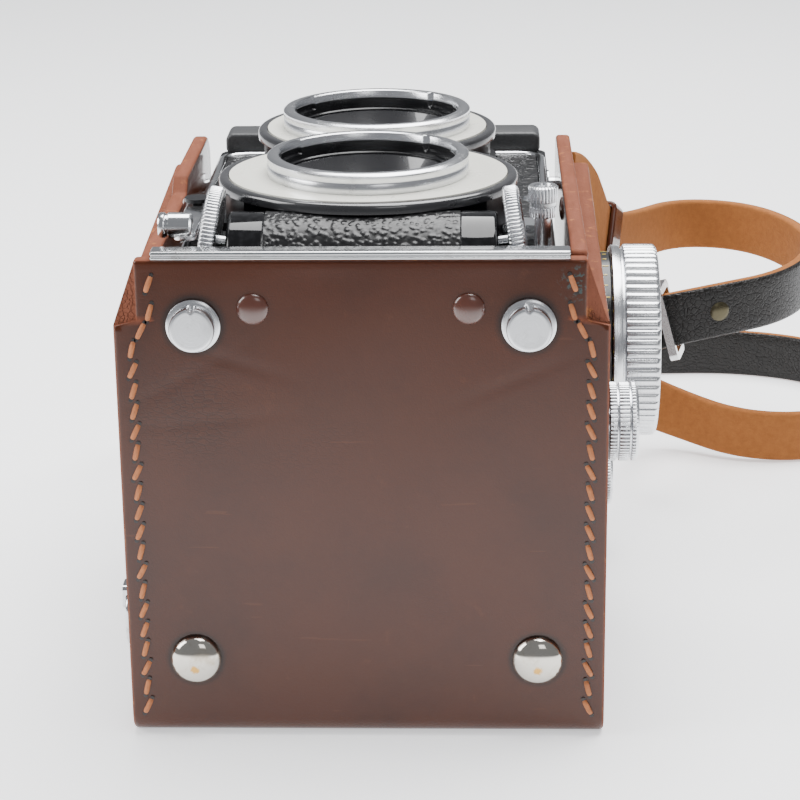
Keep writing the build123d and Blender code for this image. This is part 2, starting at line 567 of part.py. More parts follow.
# ---- front standard ----------------------------------------------------------------------------
HOLE_R = BEZEL_NECK_R + 0.1
LEVER_X, LEVER_Y = 27.8, -3.4
LEVER_Z = FLANGE_Z + 4.3
ARM_T = 1.4
AXLE_R = 0.9
EAR_Z = FLANGE_TOP_Z
EAR_T = 1.4
with BuildPart() as standard:
    with BuildSketch(Plane.XY.offset(FLANGE_Z)):
        with Locations((0, (FLANGE_Y0 + FLANGE_Y1) / 2)):
            RectangleRounded(2 * FLANGE_X, FLANGE_Y1 - FLANGE_Y0, 3.0)
    extrude(amount=FLANGE_T)
    with BuildSketch(Plane.XY.offset(SKIRT_LOW_Z)):
        with Locations((0, (SKIRT_Y0 + SKIRT_Y1) / 2)):
            RectangleRounded(2 * SKIRT_X, SKIRT_Y1 - SKIRT_Y0, 3.0)
            RectangleRounded(2 * (SKIRT_X - SKIRT_T), SKIRT_Y1 - SKIRT_Y0 - 2 * SKIRT_T, 2.0,
                             mode=Mode.SUBTRACT)
    extrude(amount=FLANGE_Z - SKIRT_LOW_Z)
    with BuildSketch(Plane.XY.offset(FLANGE_TOP_Z)):
        figure_eight(1.0)
    extrude(amount=RIM_Z - FLANGE_TOP_Z)
    with BuildSketch(Plane.XY.offset(FLANGE_TOP_Z)):
        with Locations((0, DRUM_Y)):
            Rectangle(2 * DRUM_X + 1, 2 * DRUM_R + 0.4)
    extrude(amount=RIM_Z - FLANGE_TOP_Z, mode=Mode.SUBTRACT)
    with BuildSketch(Plane.XY.offset(FLANGE_Z)):
        with Locations(*[(0, y) for y in LENS_Y]):
            Circle(HOLE_R)
    extrude(amount=RIM_Z - FLANGE_Z, mode=Mode.SUBTRACT)
    # ear and headed post of the release lever
    with BuildSketch(Plane.XY.offset(EAR_Z)):
        with Locations((-(FLANGE_X + LEVER_X) / 2, LEVER_Y)):
            Rectangle(LEVER_X + 4.4 - FLANGE_X, 5.0)
    extrude(amount=EAR_T)
    post_z = LEVER_Z + ARM_T + FIT
    for z0, z1, r in ((EAR_Z, post_z, AXLE_R), (post_z, post_z + 0.6, 2.1)):
        with BuildSketch(Plane.XY.offset(z0)):
            with Locations((-LEVER_X, LEVER_Y)):
                Circle(r)
        extrude(amount=z1 - z0)
save(standard.part, "front_standard")

with BuildPart() as panel_rim:
    with BuildSketch(Plane.XY.offset(RIM_Z)):
        figure_eight(0)
    extrude(amount=RIM_T)
    chamfer(panel_rim.faces().sort_by(Axis.Z)[-1].edges(), 0.7)
    with BuildSketch(Plane.XY.offset(INLAY_Z)):
        figure_eight(RIM_EDGE)
    extrude(amount=RIM_T, mode=Mode.SUBTRACT)
    with BuildSketch(Plane.XY.offset(RIM_Z)):
        with Locations(*[(0, y) for y in LENS_Y]):
            Circle(HOLE_R)
    extrude(amount=RIM_T, mode=Mode.SUBTRACT)
save(panel_rim.part, "panel_rim")

with BuildPart() as inlay:
    with BuildSketch(Plane.XY.offset(INLAY_Z)):
        figure_eight(RIM_EDGE + 0.05)
    extrude(amount=INLAY_T)
    with BuildSketch(Plane.XY.offset(INLAY_Z)):
        with Locations(*[(0, y) for y in LENS_Y]):
            Circle(HOLE_R)
    extrude(amount=INLAY_T, mode=Mode.SUBTRACT)
save(inlay.part, "lens_panel")


def turned_z(y, profile):
    """Ring or disc turned about a lens axis: profile is (radius, z)."""
    with BuildSketch(Plane(origin=(0, y, 0), x_dir=(1, 0, 0), z_dir=(0, -1, 0))) as half:
        with BuildLine():
            Polyline(*profile, close=True)
        make_face()
    revolve(half.sketch, axis=Axis((0, y, 0), (0, 0, 1)))


GLASS_R = BARREL_R - 3.4
REAR_GLASS_R = GLASS_R - 2.2
CONE_TOP_Z = BEZEL_Z - BEZEL_H - 0.2
CONE_LOW_Z = CONE_TOP_Z - 5.0
BARREL_LOW_Z = SKIRT_LOW_Z + 1.0


def lens(y, focal):
    """Meniscus-like glass: flat back, spherical front, in the current part."""
    turned_z(y, [(0, CONE_LOW_Z - 3.4), (GLASS_R, CONE_LOW_Z - 3.4), (GLASS_R, CONE_LOW_Z - 1.2),
                 (GLASS_R * 0.75, CONE_LOW_Z - 1.2 + focal * 0.45),
                 (GLASS_R * 0.45, CONE_LOW_Z - 1.2 + focal * 0.8), (0, CONE_LOW_Z - 1.2 + focal)])


for word, y in (("taking", 0.0), ("viewing", LENS_GAP)):
    with BuildPart() as bezel:
        turned_z(y, [(BEZEL_BORE_R, PANEL_Z + 0.2), (BEZEL_BORE_R, BEZEL_Z - 0.3),
                     (BEZEL_BORE_R + 0.3, BEZEL_Z), (BEZEL_R - 0.5, BEZEL_Z), (BEZEL_R, BEZEL_Z - 0.5),
                     (BEZEL_R, PANEL_Z), (BEZEL_NECK_R, PANEL_Z), (BEZEL_NECK_R, RIM_Z - 2.0),
                     (BEZEL_NECK_R - 1.4, RIM_Z - 2.0), (BEZEL_NECK_R - 1.4, PANEL_Z + 0.2)])
    save(bezel.part, f"{word}_bezel")
    with BuildPart() as barrel:
        turned_z(y, [(GLASS_R + 0.1, CONE_LOW_Z), (BARREL_R, CONE_TOP_Z), (BARREL_R + 0.6, CONE_TOP_Z),
                     (BARREL_R + 0.6, RIM_Z - 3.0), (BARREL_R, RIM_Z - 3.0), (BARREL_R, BARREL_LOW_Z),
                     (REAR_GLASS_R + 0.1, BARREL_LOW_Z), (REAR_GLASS_R + 0.1, CONE_LOW_Z - 5.0),
                     (GLASS_R + 0.1, CONE_LOW_Z - 3.5)])
    save(barrel.part, f"{word}_barrel")
    with BuildPart() as front_glass:
        lens(y, 2.2)
    save(front_glass.part, f"{word}_front_glass")

with BuildPart() as rear_glasses:
    for y in LENS_Y:
        turned_z(y, [(0, BARREL_LOW_Z + 0.6), (REAR_GLASS_R * 0.6, BARREL_LOW_Z + 1.0),
                     (REAR_GLASS_R, BARREL_LOW_Z + 2.0), (REAR_GLASS_R, BARREL_LOW_Z + 3.6),
                     (0, BARREL_LOW_Z + 3.6)])
save(rear_glasses.part, "rear_glasses")

# leaf shutter round the taking lens, with its blades and the iris under them
BLADE_Z = CONE_LOW_Z - 5.9
BLADE_T = 0.3
SHUTTER_R = -SKIRT_Y0 - SKIRT_T - FIT
with BuildPart() as shutter:
    turned_z(0, [(BARREL_R, FLANGE_Z - 7.0), (SHUTTER_R, FLANGE_Z - 7.0), (SHUTTER_R, FLANGE_Z),
                 (BARREL_R, FLANGE_Z)])
save(shutter.part, "shutter_housing")


def blades(z, count, inner):
    """Ring of thin blades round the taking lens, each a sector with a small gap to the next."""
    for n in range(count):
        with BuildSketch(Plane.XY.offset(z)) as sector:
            with BuildLine():
                a0, a1 = 360 / count * n + 2, 360 / count * (n + 1) - 2
                outer = REAR_GLASS_R - 0.1
                arc_out = CenterArc((0, 0), outer, a0, a1 - a0)
                arc_in = CenterArc((0, 0), inner, a0, a1 - a0)
                Line(arc_out @ 0, arc_in @ 0)
                Line(arc_out @ 1, arc_in @ 1)
            make_face()
        extrude(sector.sketch, amount=BLADE_T)


with BuildPart() as shutter_blades:
    blades(BLADE_Z, 5, 0.6)
save(shutter_blades.part, "shutter_blades")

with BuildPart() as iris:
    blades(BLADE_Z - 1.5, 6, 3.0)
save(iris.part, "aperture_blades")

# drum under the taking lens: half round, flat underneath, with a bore in each tilted end
DRUM_LOW_Z = FLANGE_TOP_Z
wheel_axis = {side: Vector(side * cos(radians(WHEEL_TILT)), 0, sin(radians(WHEEL_TILT))) for side in (-1, 1)}
AXLE_LEN = 2.6


def wheel_plane(side, shift):
    """Plane square to a thumb wheel's axis, shifted outwards from the wheel's middle."""
    centre = Vector(side * WHEEL_X, WHEEL_Y, WHEEL_Z) + wheel_axis[side] * shift
    return Plane(origin=centre, x_dir=(0, 1, 0), z_dir=wheel_axis[side])


with BuildPart() as drum:
    plane, length = span_x(-DRUM_X, DRUM_X, DRUM_Y, DRUM_Z)
    with BuildSketch(plane):
        Circle(DRUM_R)
        with Locations((0, DRUM_LOW_Z - DRUM_Z)):
            Rectangle(3 * DRUM_R, 3 * DRUM_R, align=(Align.CENTER, Align.MAX), mode=Mode.SUBTRACT)
    extrude(amount=length)
    for side in (-1, 1):
        with BuildSketch(wheel_plane(side, -WHEEL_T / 2 - AXLE_LEN - 0.4)):
            Circle(AXLE_R + RUN)
        extrude(amount=AXLE_LEN + 1.4, mode=Mode.SUBTRACT)
    with BuildSketch(Plane.XY.offset(DRUM_LOW_Z)):
        Circle(HOLE_R)
    extrude(amount=DRUM_R, mode=Mode.SUBTRACT)
save(drum.part, "drum_housing")

for side, word in ((-1, "speed_wheel"), (1, "aperture_wheel")):
    with BuildPart() as wheel:
        with BuildSketch(wheel_plane(side, -WHEEL_T / 2)):
            Circle(WHEEL_R)
        extrude(amount=WHEEL_T)
        chamfer(wheel.edges().filter_by(GeomType.CIRCLE).filter_by(lambda e: e.radius > WHEEL_R - 0.01), 0.25)
        with BuildSketch(wheel_plane(side, -WHEEL_T / 2 - AXLE_LEN)):
            Circle(AXLE_R)
        extrude(amount=AXLE_LEN)
    save(wheel.part, word)

# lever on the standard's left ear, and flash socket on a bracket to its right
TAB_Y, TAB_Z = BODY_BOTTOM_Y + 6.4, LEVER_Z + 2.4
with BuildPart() as release_lever:
    with BuildSketch(Plane.XY.offset(LEVER_Z)):
        with Locations((-LEVER_X, (LEVER_Y + TAB_Y) / 2)):
            SlotCenterToCenter(LEVER_Y - TAB_Y, 3.4, rotation=90)
    extrude(amount=ARM_T)
    with BuildSketch(Plane.XY.offset(LEVER_Z)):
        with Locations((-LEVER_X, LEVER_Y)):
            Circle(AXLE_R + RUN)
    extrude(amount=ARM_T, mode=Mode.SUBTRACT)
    with BuildSketch(Plane(origin=(-LEVER_X + 1.2, TAB_Y, TAB_Z), x_dir=(0, 1, 0), z_dir=(-1, 0, 0))):
        Circle(2.0)
    extrude(amount=5.2)
save(release_lever.part, "release_lever")

FLASH_X, FLASH_Y = WHEEL_X + 3.6, WHEEL_Y + 3.0
FLASH_TOP_Z = PANEL_Z + 1.3
with BuildPart() as flash:
    with BuildSketch(Plane.XY.offset(EAR_Z)):
        with Locations(((FLANGE_X + FLASH_X + 2) / 2 - 1, -5.5)):
            Rectangle(FLASH_X + 4 - FLANGE_X, 5.0)
    extrude(amount=EAR_T)
    with BuildSketch(Plane.XY.offset(EAR_Z)):
        figure_eight(0.9)
    extrude(amount=2.0, mode=Mode.SUBTRACT)
    with BuildSketch(Plane.XY.offset(EAR_Z)):
        with Locations((FLASH_X + 0.6, (FLASH_Y - 5.5) / 2)):
            Rectangle(2.2, -5.5 - FLASH_Y + 2.0)
    extrude(amount=EAR_T)
    for z0, z1, r in ((EAR_Z, FLASH_TOP_Z - 5.0, 1.3), (FLASH_TOP_Z - 5.0, FLASH_TOP_Z - 3.1, 2.0),
                      (FLASH_TOP_Z - 3.1, FLASH_TOP_Z - 2.4, 1.6), (FLASH_TOP_Z - 2.4, FLASH_TOP_Z, 2.2)):
        with BuildSketch(Plane.XY.offset(z0)):
            with Locations((FLASH_X + 0.4, FLASH_Y)):
                Circle(r)
        extrude(amount=z1 - z0)
    with BuildSketch(Plane.XY.offset(FLASH_TOP_Z)):
        with Locations((FLASH_X + 0.4, FLASH_Y)):
            Circle(1.5)
    extrude(amount=-2.0, mode=Mode.SUBTRACT)
save(flash.part, "flash_terminal")

with BuildPart() as sync:
    with BuildSketch(Plane.XY.offset(FLASH_TOP_Z - 3.0)):
        with Locations((FLASH_X + 0.4, FLASH_Y)):
            Circle(2.1)
            with Locations(Location((0, 0), 120)):
                Trapezoid(2.6, 4.4, 86, rotation=-90, align=(Align.CENTER, Align.MIN))
            Circle(1.6 + RUN, mode=Mode.SUBTRACT)
    extrude(amount=0.5)
save(sync.part, "sync_lever")

# ---- finder ------------------------------------------------------------------------------------
HOOD_BASE_Y = BODY_TOP_Y
HOOD_BASE_H = 4.5
HOOD_BASE_X = BODY_X - 1.0
GLASS_T = 1.2
hood_base_z0, hood_base_z1 = SHELL_BACK_Z + 2, LID_AXIS_Z + 1.8
KNUCKLE_R = 1.1
LEAF_KNUCKLE = 16.0
BEARING_L = 2.0
leaf_lift = LEAF_Y - HOOD_BASE_Y - HOOD_BASE_H
lid_lift = LID_AXIS_Y - HOOD_BASE_Y - HOOD_BASE_H + 0.2
leaf_mid_z = (HOOD_REAR_Z + HOOD_FRONT_Z) / 2
leaf_half_z = (HOOD_FRONT_Z - HOOD_REAR_Z) / 2 - FIT
right_leaf = Plane(origin=(HOOD_X, LEAF_Y, leaf_mid_z), x_dir=(0, 0, 1), z_dir=(0, -1, 0))
left_leaf = Plane(origin=(-HOOD_X, LEAF_Y, leaf_mid_z), x_dir=(0, 0, 1), z_dir=(0, 1, 0))
rear_leaf = Plane(origin=(0, LEAF_Y, HOOD_REAR_Z), x_dir=(1, 0, 0), z_dir=(0, -1, 0))
leaf_planes = (right_leaf, left_leaf, rear_leaf)
up_plane = Plane(origin=(0, HOOD_BASE_Y, 0), x_dir=(1, 0, 0), z_dir=(0, 1, 0))
with BuildPart() as hood_base:
    with BuildSketch(up_plane):
        with Locations((0, -(hood_base_z0 + hood_base_z1) / 2)):
            RectangleRounded(2 * HOOD_BASE_X, hood_base_z1 - hood_base_z0, 3.0)
        with Locations((0, -SCREEN_Z)):
            Rectangle(SCREEN - 3, SCREEN - 3, mode=Mode.SUBTRACT)
    extrude(amount=HOOD_BASE_H)
    with BuildSketch(up_plane):
        with Locations((0, -SCREEN_Z)):
            Rectangle(SCREEN + 0.2, SCREEN + 0.2)
    extrude(amount=GLASS_T + 0.1, mode=Mode.SUBTRACT)
    # bearings of the leaves' pins, one past each end of a leaf's knuckle
    for place in leaf_planes:
        for end in (-1, 1):
            origin = place.origin + place.x_dir * (end * (LEAF_KNUCKLE + BEARING_L + 2 * FIT) / 2)
            with BuildSketch(Plane(origin=origin, x_dir=(0, 1, 0), z_dir=place.x_dir)):
                Circle(KNUCKLE_R)
                Rectangle(leaf_lift, 2 * KNUCKLE_R, align=(Align.MAX, Align.CENTER))
                Circle(PIN_R, mode=Mode.SUBTRACT)
            extrude(amount=BEARING_L / 2, both=True)
    # ears that carry the lid's hinge pin
    for side in (-1, 1):
        plane, length = span_x(side * 25.0 - 1.5, side * 25.0 + 1.5, LID_AXIS_Y, LID_AXIS_Z)
        with BuildSketch(plane):
            Circle(1.3)
            Rectangle(lid_lift, 2.6, align=(Align.MAX, Align.CENTER))
            Circle(PIN_R, mode=Mode.SUBTRACT)
        extrude(amount=length)
save(hood_base.part, "hood_base")

with BuildPart() as screen:
    with BuildSketch(up_plane):
        with Locations((0, -SCREEN_Z)):
            Rectangle(SCREEN, SCREEN)
    extrude(amount=GLASS_T)
save(screen.part, "ground_glass")

BLOCK_Y0 = BODY_TOP_Y - 3.8
BLOCK_T = 4.0
with BuildPart() as block:
    with BuildSketch(Plane(origin=(0, BLOCK_Y0, 0), x_dir=(1, 0, 0), z_dir=(0, 1, 0))):
        with Locations((0, -(BODY_FRONT_Z + BLOCK_T / 2))):
            RectangleRounded(2 * HOOD_BASE_X, BLOCK_T - 0.02, 1.4)
    extrude(amount=7.6)
save(block.part, "name_block")

# the three low leaves of the hood: mitred at 45 degrees, each with a knuckle on its own pin
pin_len = LEAF_KNUCKLE + 2 * BEARING_L + 2 * FIT
with BuildPart() as hood_pins:
    for place in leaf_planes:
        with BuildSketch(Plane(origin=place.origin, x_dir=(0, 1, 0), z_dir=place.x_dir)):
            Circle(PIN_R)
        extrude(amount=pin_len / 2, both=True)
    plane, length = span_x(-26.5, 26.5, LID_AXIS_Y, LID_AXIS_Z)
    with BuildSketch(plane):
        Circle(PIN_R)
    extrude(amount=length)
save(hood_pins.part, "hood_pins")


def leaf_solid(plane, half):
    """Leaf lying flat: its hinge side on the plane's X axis, mitred ends, a knuckle on the pin."""
    t0 = KNUCKLE_R + FIT
    with BuildSketch(plane) as flat:
        with BuildLine():
            Polyline((-half + t0, t0), (half - t0, t0), (half - HOOD_LEAF_H, HOOD_LEAF_H),
                     (-half + HOOD_LEAF_H, HOOD_LEAF_H), close=True)
        make_face()
        with Locations((0, t0 / 2)):
            Rectangle(LEAF_KNUCKLE, t0)
    extrude(flat.sketch, amount=HOOD_LEAF_T / 2, both=True)
    across = Plane(origin=plane.origin - plane.x_dir * LEAF_KNUCKLE / 2, x_dir=plane.z_dir, z_dir=plane.x_dir)
    with BuildSketch(across) as knuckle:
        Circle(KNUCKLE_R)
    extrude(knuckle.sketch, amount=LEAF_KNUCKLE)
    with BuildSketch(across) as bore:
        Circle(PIN_R + RUN)
    extrude(bore.sketch, amount=LEAF_KNUCKLE, mode=Mode.SUBTRACT)


for word, place, half in (("hood_right", right_leaf, leaf_half_z), ("hood_left", left_leaf, leaf_half_z),
                          ("hood_rear", rear_leaf, HOOD_X - FIT)):
    with BuildPart() as hood_leaf:
        leaf_solid(place, half)
    save(hood_leaf.part, word)

# lid: the whole top cover, hinged along the front, with ears for the magnifier
lid_plane = Plane(origin=(0, LID_Y, 0), x_dir=(1, 0, 0), z_dir=(0, 1, 0))
lid_front_z = LID_AXIS_Z - 1.8
EAR_X = MAG_X + 0.4
with BuildPart() as lid:
    with BuildSketch(lid_plane):
        with Locations((0, -(LID_REAR_Z + lid_front_z) / 2)):
            RectangleRounded(2 * HOOD_X + 1.0, lid_front_z - LID_REAR_Z, 2.5)
    extrude(amount=LID_T)
    plane, length = span_x(-22.8, 22.8, LID_AXIS_Y, LID_AXIS_Z)
    with BuildSketch(plane):
        Circle(1.3)
        with BuildLine():
            Polyline((0, 1.3), (LID_Y + LID_T - LID_AXIS_Y, -lid_front_z + LID_AXIS_Z - 1.8),
                     (LID_Y + LID_T - LID_AXIS_Y, -2.6), (LID_Y - LID_AXIS_Y, -2.6), (0, -1.3), close=True)
        make_face()
        Circle(PIN_R + RUN, mode=Mode.SUBTRACT)
    extrude(amount=length)
    for side in (-1, 1):
        plane, length = span_x(side * (EAR_X + 0.5) - 0.5, side * (EAR_X + 0.5) + 0.5, MAG_AXIS_Y, MAG_AXIS_Z)
        with BuildSketch(plane):
            Circle(1.2)
            Rectangle(LID_Y - MAG_AXIS_Y + 0.2, 2.4, align=(Align.MIN, Align.CENTER))
            Circle(PIN_R + RUN, mode=Mode.SUBTRACT)
        extrude(amount=length)
save(lid.part, "hood_lid")

MAG_T = 2.2
MAG_Y = MAG_AXIS_Y - 1.3
mag_z0 = MAG_AXIS_Z + 1.0 - MAG_LEN
MAG_LENS_R = 10.0
mag_lens_z = mag_z0 + 12.5
mag_plane = Plane(origin=(0, MAG_Y, 0), x_dir=(1, 0, 0), z_dir=(0, 1, 0))
with BuildPart() as mag_frame:
    with BuildSketch(mag_plane):
        with Locations((0, -(mag_z0 + MAG_AXIS_Z + 1.0) / 2)):
            RectangleRounded(2 * MAG_X, MAG_LEN, 1.0)
        with Locations((0, -mag_lens_z)):
            Circle(MAG_LENS_R + 0.05, mode=Mode.SUBTRACT)
    extrude(amount=MAG_T)
    plane, length = span_x(-EAR_X - 1.0, EAR_X + 1.0, MAG_AXIS_Y, MAG_AXIS_Z)
    with BuildSketch(plane):
        Circle(PIN_R)
    extrude(amount=length)
save(mag_frame.part, "magnifier_frame")

with BuildPart() as mag_lens:
    with BuildSketch(Plane(origin=(0, MAG_Y, mag_lens_z), x_dir=(1, 0, 0), z_dir=(0, 0, 1))):
        with BuildLine():
            Polyline((0, 0.2), (MAG_LENS_R, 0.9), (MAG_LENS_R, 1.4), (MAG_LENS_R / 2, 1.9), (0, 2.1),
                     close=True)
        make_face()
    revolve(axis=Axis((0, MAG_Y, mag_lens_z), (0, 1, 0)))
save(mag_lens.part, "magnifier_lens")

# ---- neck strap --------------------------------------------------------------------------------
# a round solid with the flat strap's own section area, on straight runs joined by tangent arcs
STRAP_R = sqrt(STRAP_W * STRAP_T / pi)
SHARE = 0.45             # share of the shorter run that each arc takes up
route = [Vector(*p) for p in STRAP_ROUTE]
radii = []
for a, b, c in zip(route, route[1:], route[2:]):
    turn = radians((b - a).get_angle(c - b))
    radii.append(SHARE * min((b - a).length, (c - b).length) / tan(turn / 2))
print("strap radii, mm:", " ".join(f"{r:.0f}" for r in radii))
with BuildPart() as strap:
    with BuildLine() as strap_path:
        FilletPolyline(*route, radius=radii)
    with BuildSketch(Plane(origin=route[0], z_dir=route[1] - route[0])):
        Circle(STRAP_R)
    sweep(path=strap_path.line)
save(strap.part, "strap")

# flat wire loop that the strap runs through, on the straight run before the strap goes down
ring_a, ring_b = route[9], route[10]
with BuildPart() as strap_ring:
    with BuildSketch(Plane(origin=(ring_a + ring_b) / 2, x_dir=(0, 0, 1), z_dir=ring_b - ring_a)):
        RectangleRounded(STRAP_W + 4.4, 2 * STRAP_R + 3.0, 1.5)
        RectangleRounded(STRAP_W + 1.6, 2 * STRAP_R + 0.6, 0.5, mode=Mode.SUBTRACT)
    extrude(amount=0.8, both=True)
save(strap_ring.part, "strap_ring")
strap_len = sum(edge.length for edge in strap_path.edges())
print(f"strap length {strap_len:.1f} mm, volume {strap.part.volume:.0f} mm3, "
      f"section x length {STRAP_W * STRAP_T * strap_len:.0f} mm3")
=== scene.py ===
"""Looks of a twin lens reflex camera lying on its back in a half leather case. Metres.

+Z points out of the lenses, +Y from the camera's base to its finder hood, +X to the focusing knob.
"""

import json
import math

import bmesh
import bpy
import numpy as np
from mathutils import Matrix, Vector


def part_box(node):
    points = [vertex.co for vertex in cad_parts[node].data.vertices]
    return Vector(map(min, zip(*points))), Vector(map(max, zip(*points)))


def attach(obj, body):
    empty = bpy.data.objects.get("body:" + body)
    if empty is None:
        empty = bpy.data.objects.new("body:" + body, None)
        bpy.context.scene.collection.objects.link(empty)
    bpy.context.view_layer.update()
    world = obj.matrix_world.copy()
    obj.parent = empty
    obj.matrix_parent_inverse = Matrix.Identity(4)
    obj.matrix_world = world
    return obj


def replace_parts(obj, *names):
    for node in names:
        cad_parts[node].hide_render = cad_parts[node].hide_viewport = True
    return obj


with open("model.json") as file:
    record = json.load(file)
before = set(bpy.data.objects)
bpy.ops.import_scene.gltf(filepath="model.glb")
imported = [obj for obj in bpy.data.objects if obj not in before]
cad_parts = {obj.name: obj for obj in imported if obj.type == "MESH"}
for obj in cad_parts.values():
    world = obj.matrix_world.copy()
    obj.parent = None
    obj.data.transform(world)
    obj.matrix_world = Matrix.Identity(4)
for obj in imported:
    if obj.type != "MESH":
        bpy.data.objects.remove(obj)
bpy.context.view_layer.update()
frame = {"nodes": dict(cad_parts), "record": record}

# ---- camera and light ----
# A long lens looks down on the case's base. One large soft light hangs over the object, a smaller
# one stands at the left and a weak one at the right, in a pale room.
EYE = (0.0185, -0.3858, 0.178)
PITCH, YAW, ROLL = math.radians(18.75), math.radians(2.04), math.radians(-0.69)
LENS_MM = 108.6


def add_camera():
    """The view: turned by yaw about Z, then tilted down by pitch, then rolled about its own axis."""
    camera = bpy.data.objects.new("view", bpy.data.cameras.new("view"))
    camera.data.lens = LENS_MM
    camera.data.sensor_width = 36.0
    camera.data.clip_start = 0.01
    camera.data.dof.use_dof = False
    turn = Matrix.Rotation(YAW, 4, "Z") @ Matrix.Rotation(math.pi / 2 - PITCH, 4, "X")
    camera.matrix_world = Matrix.Translation(EYE) @ turn @ Matrix.Rotation(ROLL, 4, "Z")
    bpy.context.scene.collection.objects.link(camera)
    bpy.context.scene.camera = camera


def add_light(name, place, target, size, power):
    """A square soft light of that width, aimed from its place at a target."""
    light = bpy.data.objects.new(name, bpy.data.lights.new(name, "AREA"))
    light.data.shape = "SQUARE"
    light.data.size = size
    light.data.energy = power
    aim = Vector(target) - Vector(place)
    light.matrix_world = Matrix.Translation(place) @ aim.to_track_quat("-Z", "Y").to_matrix().to_4x4()
    bpy.context.scene.collection.objects.link(light)


add_camera()
add_light("light_over", (0.1, 0.18, 0.7), (0.0, 0.05, 0.05), 0.65, 15.0)
add_light("light_left", (-0.6, -0.1, 0.4), (0.0, 0.0, 0.05), 0.4, 4.5)
add_light("light_front", (0.25, -0.75, 0.55), (0.0, 0.0, 0.05), 0.3, 0.7)
world = bpy.data.worlds.new("room")
world.use_nodes = True
background = world.node_tree.nodes["Background"].inputs
background["Color"].default_value = (0.93, 0.95, 1.0, 1.0)
background["Strength"].default_value = 0.33
bpy.context.scene.world = world


# ---- finishes ----
# Every material is a Principled shader fed by a few nodes, and is named after the record's slot
# that it belongs to. Patterns follow the object's own coordinates or a number on each point.
class Wire:
    """One socket of a material's node tree. Arithmetic on it adds Math nodes to the tree."""

    def __init__(self, tree, socket=None):
        self.tree, self.socket = tree, socket

    def add(self, kind, settings=None, inputs=None, output=0):
        """Any other node, from its type, its settings and its inputs by name or number."""
        node = self.tree.nodes.new(kind)
        for key, value in (settings or {}).items():
            setattr(node, key, value)
        for key, value in (inputs or {}).items():
            if isinstance(value, Wire):
                self.tree.links.new(value.socket, node.inputs[key])
            else:
                node.inputs[key].default_value = value
        return Wire(self.tree, node.outputs[output])

    def math(self, operation, *values):
        """A Math node, from its operation and its inputs in order."""
        return self.add("ShaderNodeMath", {"operation": operation}, dict(enumerate(values)))

    def __add__(self, other): return self.math("ADD", self, other)
    def __radd__(self, other): return self.math("ADD", other, self)
    def __sub__(self, other): return self.math("SUBTRACT", self, other)
    def __rsub__(self, other): return self.math("SUBTRACT", other, self)
    def __mul__(self, other): return self.math("MULTIPLY", self, other)
    def __rmul__(self, other): return self.math("MULTIPLY", other, self)
    def __pow__(self, other): return self.math("POWER", self, other)

    def step(self, low, high, start=0.0, end=1.0):
        """Smooth change from start to end while this goes from low to high."""
        settings = {"interpolation_type": "SMOOTHSTEP"}
        return self.add("ShaderNodeMapRange", settings, {0: self, 1: low, 2: high, 3: start, 4: end})

    def fade(self, near, far):
        """1 up to near, then a smooth fall to 0 at far."""
        return self.step(near, far, 1.0, 0.0)

    def number(self, name):
        """A number that each point of the mesh carries under that name."""
        return self.add("ShaderNodeAttribute", {"attribute_name": name}, output=2)

    def place(self, x=1.0, y=1.0, z=1.0):
        """The object's own coordinates, in metres, each scaled."""
        point = self.add("ShaderNodeTexCoord", output=3)
        return self.add("ShaderNodeVectorMath", {"operation": "MULTIPLY"}, {0: point, 1: (x, y, z)})

    def axis(self, letter):
        """One of the object's own coordinates, by its letter."""
        return self.add("ShaderNodeSeparateXYZ", None, {0: self.place()}, "XYZ".index(letter))

    def away(self, x, z, mirrored=False):
        """Distance across X and Z from a place: sqrt((X - x) ** 2 + (Z - z) ** 2), with |X| if mirrored."""
        across = self.math("ABSOLUTE", self.axis("X")) if mirrored else self.axis("X")
        return self.math("SQRT", (across - x) ** 2.0 + (self.axis("Z") - z) ** 2.0)

    def noise(self, scale, detail=3.0, rough=0.5, where=None):
        """Cloudy noise about 0.5, with that many features to the metre."""
        inputs = {"Vector": where or self.place(), "Scale": scale, "Detail": detail, "Roughness": rough}
        return self.add("ShaderNodeTexNoise", None, inputs)

    def cells(self, scale, feature="F1", where=None):
        """Distance to the nearest cell's centre, or to its edge, with that many cells to the metre."""
        inputs = {"Vector": where or self.place(), "Scale": scale}
        return self.add("ShaderNodeTexVoronoi", {"feature": feature}, inputs)

    def mix(self, low, high):
        """The colour that lies between two others, by this factor."""
        colours = {0: self, 6: rgba(low), 7: rgba(high)}
        return self.add("ShaderNodeMix", {"data_type": "RGBA", "clamp_factor": True}, colours, 2)


def rgba(colour):
    """A colour as a socket takes it; one that is already on a wire stays as it is."""
    return colour if isinstance(colour, Wire) else (*colour, 1.0)


FINISH = {}


def finish(name, pattern, **sockets):
    """A material, kept in FINISH: its constant sockets, and a function that gives the ones that vary."""
    material = FINISH[name] = bpy.data.materials.new(name)
    material.use_nodes = True
    tree = material.node_tree
    shader = tree.nodes["Principled BSDF"]
    varied = pattern(Wire(tree))
    if "relief" in varied:
        height, depth = varied.pop("relief")
        varied["Normal"] = Wire(tree).add("ShaderNodeBump", None, {"Height": height, "Distance": depth})
    for key, value in {**sockets, **varied}.items():
        socket = shader.inputs[key.replace("_", " ")]
        if isinstance(value, Wire):
            tree.links.new(value.socket, socket)
        else:
            socket.default_value = value
    return material


